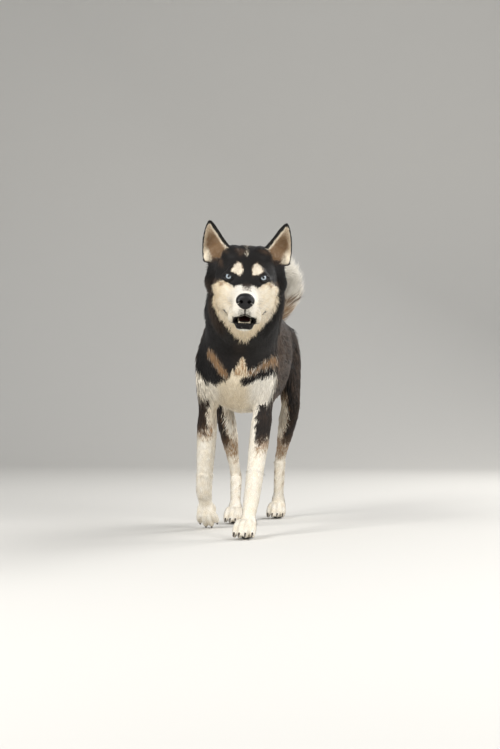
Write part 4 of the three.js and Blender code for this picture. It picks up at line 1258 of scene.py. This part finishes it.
# Each tuft becomes a small patch of the map, at its root's place round its own part of the body
def bakeMap(mesh, roots, across, along, perTuft):
    share, spot = nearest(roots)[2:]
    offset = roots - flowSpots["middle"][spot]
    above = (offset * flowSpots["above"][spot]).sum(1)
    aside = (offset * flowSpots["side"][spot]).sum(1)
    angle = np.arctan2(above, aside) / (2 * np.pi) + 0.5
    form = spotIndex[spot]
    slide = (offset * flowSpots["way"][spot]).sum(1) / 400
    corner = np.zeros((len(roots), 2))
    low = 0.0
    for k in np.unique(form):
        mine = form == k
        tall = mine.sum() / len(roots)
        reach = share[mine] + slide[mine]
        span = max(reach.max() - reach.min(), 1e-6)
        corner[mine, 0] = (reach - reach.min()) / span
        corner[mine, 1] = low + angle[mine] * tall
        low += tall
    corner = 0.004 + corner * 0.99
    patch = np.stack([across - 0.5, along - 0.5], 1).reshape(len(roots), perTuft, 2) * 0.003
    uv = (corner[:, None] + patch).reshape(-1, 2)
    loops = np.empty(len(mesh.loops), np.int32)
    mesh.loops.foreach_get("vertex_index", loops)
    layer = mesh.uv_layers.new(name="OFBake")
    layer.data.foreach_set("uv", np.clip(uv[loops], 0, 1).astype(np.float32).ravel())


def readAttribute(mesh, name, width):
    layer = mesh.attributes[name]
    flat = np.empty(len(mesh.vertices) * width, np.float32)
    layer.data.foreach_get("vector" if width == 3 else "value", flat)
    return flat.reshape(-1, width) if width > 1 else flat


def growCoat(label, region):
    bend = rise(region.get("sink", 0.28), 0.55)
    group = tuftSet("tuft_" + label, region["rows"], bend, region["forks"], region.get("ridge", 0.16))
    carrier = bpy.data.objects.new("carrier", skin.data.copy())
    bpy.context.scene.collection.objects.link(carrier)
    step = carrier.modifiers.new("coat", "NODES")
    step.node_group = tree
    inputs = {"Part": partNumber[label], "Spacing": region["spacing"] / 1000,
              "Length": region.get("length", 1.0), "Width": region.get("width", 1.0),
              "Seed": 3 + partNumber[label], "Tufts": group, "Material": coatMaterial}
    for name, value in inputs.items():
        step[sockets[name]] = value
    mesh = bpy.data.meshes.new_from_object(carrier.evaluated_get(bpy.context.evaluated_depsgraph_get()))
    perTuft = len(group.objects[0].data.vertices)
    facesEach = len(group.objects[0].data.polygons)
    count = len(mesh.vertices) // perTuft
    place = np.empty(len(mesh.vertices) * 3, np.float32)
    mesh.vertices.foreach_get("co", place)
    place = place.reshape(count, perTuft, 3)
    values = {n: readAttribute(mesh, n, w).reshape(count, perTuft, -1) for n, w in carried.items()}
    template = [np.array(f.vertices) for f in list(mesh.polygons)[:facesEach]]
    sizes = np.array([len(f) for f in template])
    triangles = sum(sizes - 2)
    loopsEach = np.concatenate(template)
    bpy.data.objects.remove(carrier)
    bpy.data.meshes.remove(mesh)
    parts = int(np.ceil(count * triangles / mostTriangles))
    roots = values["rootPlace"][:, 0]
    axis = 1 if np.ptp(roots[:, 1]) > np.ptp(roots[:, 2]) else 2
    order = np.argsort(roots[:, axis], kind="stable")
    pieces = []
    for number, chosen in enumerate(np.array_split(order, parts)):
        mesh = bpy.data.meshes.new(f"coat_{label}_{number + 1}")
        mine = len(chosen)
        mesh.vertices.add(mine * perTuft)
        mesh.loops.add(mine * len(loopsEach))
        mesh.polygons.add(mine * facesEach)
        low = place[chosen]
        low[..., 2] = np.maximum(low[..., 2], 0.0003)  # nothing under the floor
        mesh.vertices.foreach_set("co", low.ravel())
        loops = (loopsEach[None] + (np.arange(mine) * perTuft)[:, None]).ravel().astype(np.int32)
        mesh.loops.foreach_set("vertex_index", loops)
        firsts = np.concatenate([[0], np.cumsum(sizes)[:-1]])[None]
        starts = (firsts + (np.arange(mine) * len(loopsEach))[:, None]).ravel()
        mesh.polygons.foreach_set("loop_start", starts.astype(np.int32))
        mesh.update(calc_edges=True)
        mesh.shade_smooth()
        for n in ("marking", "cream", "tuftChance", "alongTuft", "acrossTuft"):
            store(mesh, n, "FLOAT_VECTOR" if carried[n] == 3 else "FLOAT", values[n][chosen])
        bakeMap(mesh, values["rootPlace"][chosen, 0] * 1000.0 - shift, values["acrossTuft"][chosen].ravel(),
                values["alongTuft"][chosen].ravel(), perTuft)
        mesh.materials.append(coatMaterial)
        piece = bpy.data.objects.new(mesh.name, mesh)
        bpy.context.scene.collection.objects.link(piece)
        # the coat catches light mostly as the skin under it does
        own = vertexNormals(piece)
        share = region.get("own", 0.48)
        blend = own * share + values["rootNormal"][chosen].reshape(-1, 3) * (1.1 - share)
        blend /= np.linalg.norm(blend, axis=1, keepdims=True)
        mesh.normals_split_custom_set_from_vertices([tuple(v) for v in blend])
        pieces.append(piece)
        print(piece.name, mine * triangles, "triangles")
    return pieces


coatPieces = {label: growCoat(label, region) for label, region in regions.items()}
for label in regions:
    group = bpy.data.collections["tuft_" + label]
    for piece in list(group.objects):
        bpy.data.objects.remove(piece)
    bpy.data.collections.remove(group)
print("coat grown")


# Eyes: a glossy ball with a pale iris, painted on a map that looks straight at the pupil

iris = {
    "radius": 6.7, "pupil": 2.8, "pale": "#aeb6bc", "deep": "#7c8993", "ring": "#141c22",
    "white": "#130e0d", "hole": "#050505",
}


def eyeMaterial():  # wet cornea over a pale blue iris with fine radial fibres and a dark ring
    material, tree, shader = newMaterial("eye_pale_blue")
    plane = nodeIn(tree, "ShaderNodeUVMap", uv_map="EyePlane")
    axes = nodeIn(tree, "ShaderNodeSeparateXYZ", {0: plane.outputs[0]})
    far = nodeIn(tree, "ShaderNodeVectorMath", {0: plane.outputs[0]}, operation="LENGTH").outputs["Value"]
    angle = nodeIn(tree, "ShaderNodeMath", {0: axes.outputs[1], 1: axes.outputs[0]}, operation="ARCTAN2")
    polar = nodeIn(tree, "ShaderNodeCombineXYZ", {0: angle.outputs[0], 1: far})
    stretched = nodeIn(tree, "ShaderNodeMapping", {"Vector": polar.outputs[0]})
    stretched.inputs["Scale"].default_value = (9, 0.35, 1)
    fibres = nodeIn(tree, "ShaderNodeTexNoise", {"Vector": stretched.outputs[0], "Scale": 2.2, "Detail": 3.0})

    def mix(share, low, high):
        return nodeIn(tree, "ShaderNodeMix", {0: share, 6: low, 7: high}, data_type="RGBA").outputs[2]

    def band(low, high):
        return nodeIn(tree, "ShaderNodeMapRange", {"Value": far, "From Min": low, "From Max": high},
                      interpolation_type="SMOOTHSTEP").outputs[0]

    blue = mix(fibres.outputs["Fac"], colour(iris["deep"]), colour(iris["pale"]))
    inner = mix(band(iris["pupil"] - 0.2, iris["pupil"] + 0.25), colour(iris["hole"]), blue)
    ringed = mix(band(iris["radius"] - 1.9, iris["radius"] - 0.3), inner, colour(iris["ring"]))
    whole = mix(band(iris["radius"], iris["radius"] + 0.7), ringed, colour(iris["white"]))
    tree.links.new(whole, shader.inputs["Base Color"])
    shader.inputs["Roughness"].default_value = 0.12
    shader.inputs["Coat Weight"].default_value = 1.0
    shader.inputs["Coat Roughness"].default_value = 0.03
    return material


cameraPlace = np.array(bpy.context.scene.camera.location) * 1000 - shift
eyePaint = eyeMaterial()
rimPaint = grained("eyelid_rim", "#060404", "#100b0a", 900.0, 0.45, 0.3)  # bare wet skin, nearly black


def eyePieces(side, label):
    centre = moved([[side * eye["side"], eye["back"], 0]], headPlace)[0]
    gaze = cameraPlace - centre
    gaze /= np.linalg.norm(gaze)
    across = np.cross([0, 0, 1], gaze)
    across /= np.linalg.norm(across)
    up = np.cross(gaze, across)
    angle = np.arange(56) / 56 * 2 * np.pi
    rings = []
    for tilt in np.linspace(0.02, np.pi - 0.02, 44):
        bulge = 0.7 * soft(-tilt, -0.62, -0.3)
        wide = np.sin(tilt)
        ring = np.outer(np.cos(angle) * wide, across) + np.outer(np.sin(angle) * wide, up)
        rings.append(centre + (ring + np.cos(tilt) * gaze) * (eye["radius"] + bulge))
    points, faces = closeRings(np.array(rings))
    ball = makeObject(f"eye_ball_{label}", toRoom(points), outward(points, faces))
    flat = np.stack([(points - centre) @ across, (points - centre) @ up], 1)
    behind = (points - centre) @ gaze < 2
    flat[behind] *= 3
    loops = np.empty(len(ball.data.loops), np.int32)
    ball.data.loops.foreach_get("vertex_index", loops)
    layer = ball.data.uv_layers.new(name="EyePlane")
    layer.data.foreach_set("uv", flat[loops].astype(np.float32).ravel())
    ball.data.materials.append(eyePaint)
    points, faces = lidShape(side)
    lids = makeObject(f"eyelids_{label}", toRoom(moved(points, headPlace)), faces)
    lids.data.materials.append(rimPaint)
    return ball, lids


eyeBallLeft, lidsLeft = eyePieces(1, "left")
eyeBallRight, lidsRight = eyePieces(-1, "right")


# Nose leather with its nostrils

noseForm = {
    "rows": [(0, -105.5, -37, 9, 9.5, 10), (0, -102.5, -36.5, 16, 14, 15), (0, -96, -36.5, 20.5, 16, 17.5),
             (0, -86, -35, 18, 14.5, 17), (0, -78, -34, 12, 12, 16)],
    "wing": ((11, -98, -38), (9.4, 8, 10)),
    # a nostril and the slit that curls outwards from it: centre, radii and turn
    "nostril": [((8.6, -105.5, -36), (4.2, 8, 4.0), 0), ((13.2, -102.5, -39.5), (5.2, 6, 1.7), 22),
                ((17, -100, -41.5), (3.5, 6, 1.3), 30)],
}


def nosePiece():
    shapes = [closeRings(sweep({"rows": noseForm["rows"], "axis": (0, 1, 0), "square": 2.3}, 40, 30))]
    (out, ahead, up), radii = noseForm["wing"]
    shapes += [eggShape((side * out, ahead, up), radii) for side in (1, -1)]
    points, faces = gather(shapes)
    piece = remeshed("nose_leather", points, faces, 0.8)
    setPoints(piece, averaged(pointsOf(piece), edgesOf(piece), 5))
    for side in (-1, 1):
        for (out, ahead, up), radii, turn in noseForm["nostril"]:
            p, f = gather([eggShape((side * out, ahead, up), radii, (0, side * turn, 0))])
            boolean(piece, makeObject("cutter", p / 1000, f), "DIFFERENCE")
    p = pointsOf(piece) * 1000
    p[:, 0] *= 1 - 0.24 * soft(-p[:, 2], 35, 54)  # narrower below
    crease = np.exp(-(p[:, 0] / 0.9) ** 2) * (p[:, 1] < -92) * soft(-p[:, 2], 34, 38)
    p[:, 1] += crease * 1.1
    setPoints(piece, toRoom(moved(p, headPlace)))
    piece.data.shade_smooth()
    return piece


def noseMaterial():  # bare black skin in pebbles of about 1.1 mm, with a dull wet shine
    material, tree, shader = newMaterial("nose_leather")
    place = nodeIn(tree, "ShaderNodeTexCoord")
    pebbles = nodeIn(tree, "ShaderNodeTexVoronoi", {"Vector": place.outputs["Object"], "Scale": 900.0})
    shade = nodeIn(tree, "ShaderNodeMix", {
        0: pebbles.outputs["Distance"], 6: colour("#141112"), 7: colour("#070606")}, data_type="RGBA")
    tree.links.new(shade.outputs[2], shader.inputs["Base Color"])
    bump = nodeIn(tree, "ShaderNodeBump", {
        "Height": pebbles.outputs["Distance"], "Strength": 0.5, "Distance": 0.0004}, invert=True)
    tree.links.new(bump.outputs[0], shader.inputs["Normal"])
    shader.inputs["Roughness"].default_value = 0.46
    shader.inputs["Specular IOR Level"].default_value = 0.32
    shader.inputs["Coat Weight"].default_value = 0.05
    return material


nose = nosePiece()
nose.data.materials.clear()
nose.data.materials.append(noseMaterial())


# Lips, tongue and teeth

def joined(name, shapes, material, turn=None):
    points, faces = gather(shapes)
    if turn is not None:
        points = moved(points, turn)
    piece = makeObject(name, toRoom(moved(points, headPlace)), faces)
    piece.data.materials.append(material)
    return piece


skinTree = BVHTree.FromPolygons([v.co.copy() for v in skin.data.vertices],
                                [tuple(f.vertices) for f in skin.data.polygons])


def onSkin(points, sink):  # the nearest places on the skin, a little under it
    found = []
    for point in toRoom(points):
        place, normal = skinTree.find_nearest(Vector(point))[:2]
        found.append(np.array(place - normal * sink / 1000) * 1000 - shift)
    return np.array(found)


lipPath = {  # on the dog's left side, from the middle to the corner of the mouth
    "upper": [(0, -95, -66), (7, -94, -71.5), (14, -89, -77), (20, -70, -83), (25, -45, -87),
              (29, -14, -88), (35, 4, -87), (41, 12, -82), (46, 16, -75)],
    "lower": [(0, -89, -74), (7, -88, -73.8), (14, -81, -73), (19, -62, -72), (22, -38, -72),
              (26, -8, -71), (30, 8, -70)],
}


def lipTube(points, radius, turn, sink):
    count = 60
    both = [(-x, y, z) for x, y, z in points[::-1]] + points[1:]
    path = curveAt(both, np.linspace(0, 1, count))[0]
    if turn is not None:
        path = moved(path, turn)
    path = moved(onSkin(moved(path, headPlace), sink), headBack)
    for _ in range(4):
        path[1:-1] = (path[:-2] + path[2:] + 2 * path[1:-1]) / 4
    ends = np.minimum(1, 0.35 + np.minimum(np.arange(count), np.arange(count)[::-1]) / 9)
    rows = [(*p, radius * e) for p, e in zip(path, ends)]
    return closeRings(sweep({"rows": rows, "least": 0.3}, 12, 110))


# Bare, nearly black skin, duller than the nose
lipPaint = grained("lip_skin", "#060404", "#100c0c", 700.0, 0.58, 0.35, Specular_IOR_Level=0.2)
upperLip = lipTube(lipPath["upper"], 1.4, None, 0.3)
lowerLip = lipTube(lipPath["lower"], 2.5, jawTurn, 0.9)
lips = joined("lip_upper", [upperLip], lipPaint)
lipsLow = joined("lip_lower", [lowerLip], lipPaint)

# Wet dark pink flesh with a rough grain
tonguePaint = grained("tongue_flesh", "#42201f", "#693636", 800.0, 0.36, 0.45, Coat_Weight=0.2)
tongueForm = {
    "rows": [(0, -75, -74, 5, 1.6, 1), (0, -69, -73.4, 10, 2.6, 1.2), (0, -58, -72.4, 14.5, 4.2, 3),
             (0, -30, -71, 17, 5, 3), (0, 4, -70, 18, 5.4, 3)],
    "axis": (0, 1, 0), "least": 0.4,
}
tongueRings = sweep(tongueForm, 32, 36)
groove = np.exp(-(tongueRings[..., 0] / 2.2) ** 2) * (tongueRings[..., 2] > -72)
tongueRings[..., 2] -= groove * 1.3
tongueFine = joined("tongue_wet", [closeRings(tongueRings)], tonguePaint, jawTurn)

# Smooth ivory enamel, a little wet
toothPaint = grained("tooth_enamel", "#ab9d82", "#d3c7af", 500.0, 0.3, 0.1, Coat_Weight=0.2)


def tooth(places, sides=12):  # a crown through a few places, each with its half width and half depth
    return closeRings(sweep({"least": 0.2, "rows": places}, sides, 12))


lowerTeeth = []
for i in (-2.5, -1.5, -0.5, 0.5, 1.5, 2.5):
    x, y = i * 3.3, -80 + 0.9 * abs(i) ** 1.3
    lowerTeeth.append(tooth([(x, y, -75, 1.4, 1.6), (x, y - 0.2, -72.2, 1.6, 1.6),
                             (x, y - 0.5, -70.2, 1.5, 1.0), (x, y - 0.5, -69.4, 0.9, 0.4)]))
for side in (-1, 1):
    lowerTeeth.append(tooth([(side * 10.8, -75, -76, 2.5, 3), (side * 11.2, -75.5, -71.5, 2.0, 2.5),
                             (side * 11.5, -76, -69.2, 1.3, 1.5), (side * 11.5, -75.5, -67.6, 0.3, 0.3)],
                            14))
    for k in range(4):  # premolars and the molar behind them
        x, y = side * (13.5 + k * 1.8), -62 + k * 13
        lowerTeeth.append(tooth([(x, y, -75, 1.9, 4), (x, y, -69.6, 1.6, 3.4 + k * 0.3),
                                 (x, y, -66.4, 0.3, 0.5)]))
teeth = joined("teeth_lower", lowerTeeth, toothPaint, jawTurn)
clawPaint = grained("claw_horn", "#1d1714", "#4c3f36", 260.0, 0.4, 0.2)  # dark horn with a dull polish
clawPoints, clawFaces = gather(clawShapes)
clawPoints[:, 2] = np.maximum(clawPoints[:, 2], 0.6)
claws = makeObject("claws", toRoom(clawPoints), clawFaces)
claws.data.materials.append(clawPaint)


# Whiskers: stiff tapered hairs out of the pads beside the nose

whisker = {"rows": 4, "each": 5, "length": 44, "thick": 0.32}


def whiskerPiece():
    draw = np.random.default_rng(21)
    shapes = []
    for side in (-1, 1):
        for row in range(whisker["rows"]):
            for k in range(whisker["each"]):
                root = np.array([side * (24 + 1.2 * k), -84 + 8 * k, -44 - 6 * row + 1.2 * k])
                root = moved(onSkin(moved([root], headPlace), 0.5), headBack)[0]
                reach = whisker["length"] * draw.uniform(0.55, 1.0)
                out = side * draw.uniform(0.8, 1.0)
                way = np.array([out, 0.15 + 0.12 * k, -0.25 - 0.12 * row + draw.uniform(-0.12, 0.12)])
                way /= np.linalg.norm(way)
                mid = root + way * reach * 0.5 + [0, 1.5, 0.5]
                end = root + way * reach + [0, 7, -5]
                rows = [(*(root - way * 3), whisker["thick"]), (*mid, whisker["thick"] * 0.6), (*end, 0.05)]
                shapes.append(closeRings(sweep({"rows": rows, "least": 0.05}, 4, 9)))
    # stiff pale hair, dark here and there
    return joined("whiskers", shapes, grained("whisker_hair", "#26201d", "#e8e0d2", 60.0, 0.4))


whiskers = whiskerPiece()
print("face pieces made")


# What stands for which solid

flesh = ["head", "lower_jaw", "ear_left", "ear_right", "neck", "torso", "tail_base", "tail_middle",
         "tail_tip"]
flesh += [f"{leg}_{part}" for leg in ("fore_left", "fore_right") for part in ("upper_arm", "forearm", "paw")]
flesh += [f"{leg}_{part}" for leg in ("hind_left", "hind_right") for part in ("thigh", "shank", "paw")]
single = [skin, eyeBallLeft, eyeBallRight, lidsLeft, lidsRight, nose, lips, lipsLow, tongueFine, teeth,
          claws, whiskers]
for piece in single + [piece for group in coatPieces.values() for piece in group]:
    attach(piece, "root")
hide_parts(*flesh)
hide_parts("eye_left")
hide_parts("eye_right")
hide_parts("nose")
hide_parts("tongue")


# Studio: a pale floor that curves up behind, and soft lights

studio = {"floor": "#cbc8c2", "key": 128.0, "fill": 74.0, "back": 96.0, "sky": 0.45}


def floorPiece():  # matt paper
    start, bend = 3.2, 1.6
    rows = [(-7, 0), (start, 0)]
    for t in np.linspace(0.1, math.pi / 2, 16):
        rows.append((start + bend * math.sin(t), bend - bend * math.cos(t)))
    rows.append((start + bend, 7))
    points = [(x, y, z - 0.0004) for y, z in rows for x in (-9, 9)]
    faces = [(2 * i, 2 * i + 1, 2 * i + 3, 2 * i + 2) for i in range(len(rows) - 1)]
    piece = makeObject("studio_floor", points, faces)
    piece.data.materials.append(grained("floor_paint", studio["floor"], studio["floor"], 8.0, 0.8))
    return piece


floorPiece()


def softLight(place, aim, power, size):
    data = bpy.data.lights.new("soft_light", "AREA")
    data.energy = power
    data.size = size
    lamp = bpy.data.objects.new("soft_light", data)
    bpy.context.scene.collection.objects.link(lamp)
    lamp.location = place
    lamp.rotation_euler = (Vector(aim) - Vector(place)).to_track_quat("-Z", "Y").to_euler()


softLight((-1.7, -3.0, 2.3), (0, 0, 0.4), studio["key"], 1.3)
softLight((2.6, -1.8, 1.6), (0, 0, 0.4), studio["fill"], 1.8)
softLight((1.7, 2.2, 2.4), (0, 0, 0.5), studio["back"], 1.6)
world = bpy.data.worlds.new("studio")
world.use_nodes = True
world.node_tree.nodes["Background"].inputs[0].default_value = colour("#e9edf2")
world.node_tree.nodes["Background"].inputs[1].default_value = studio["sky"]
bpy.context.scene.world = world
bpy.context.scene.view_settings.view_transform = "Standard"  # whites stay white
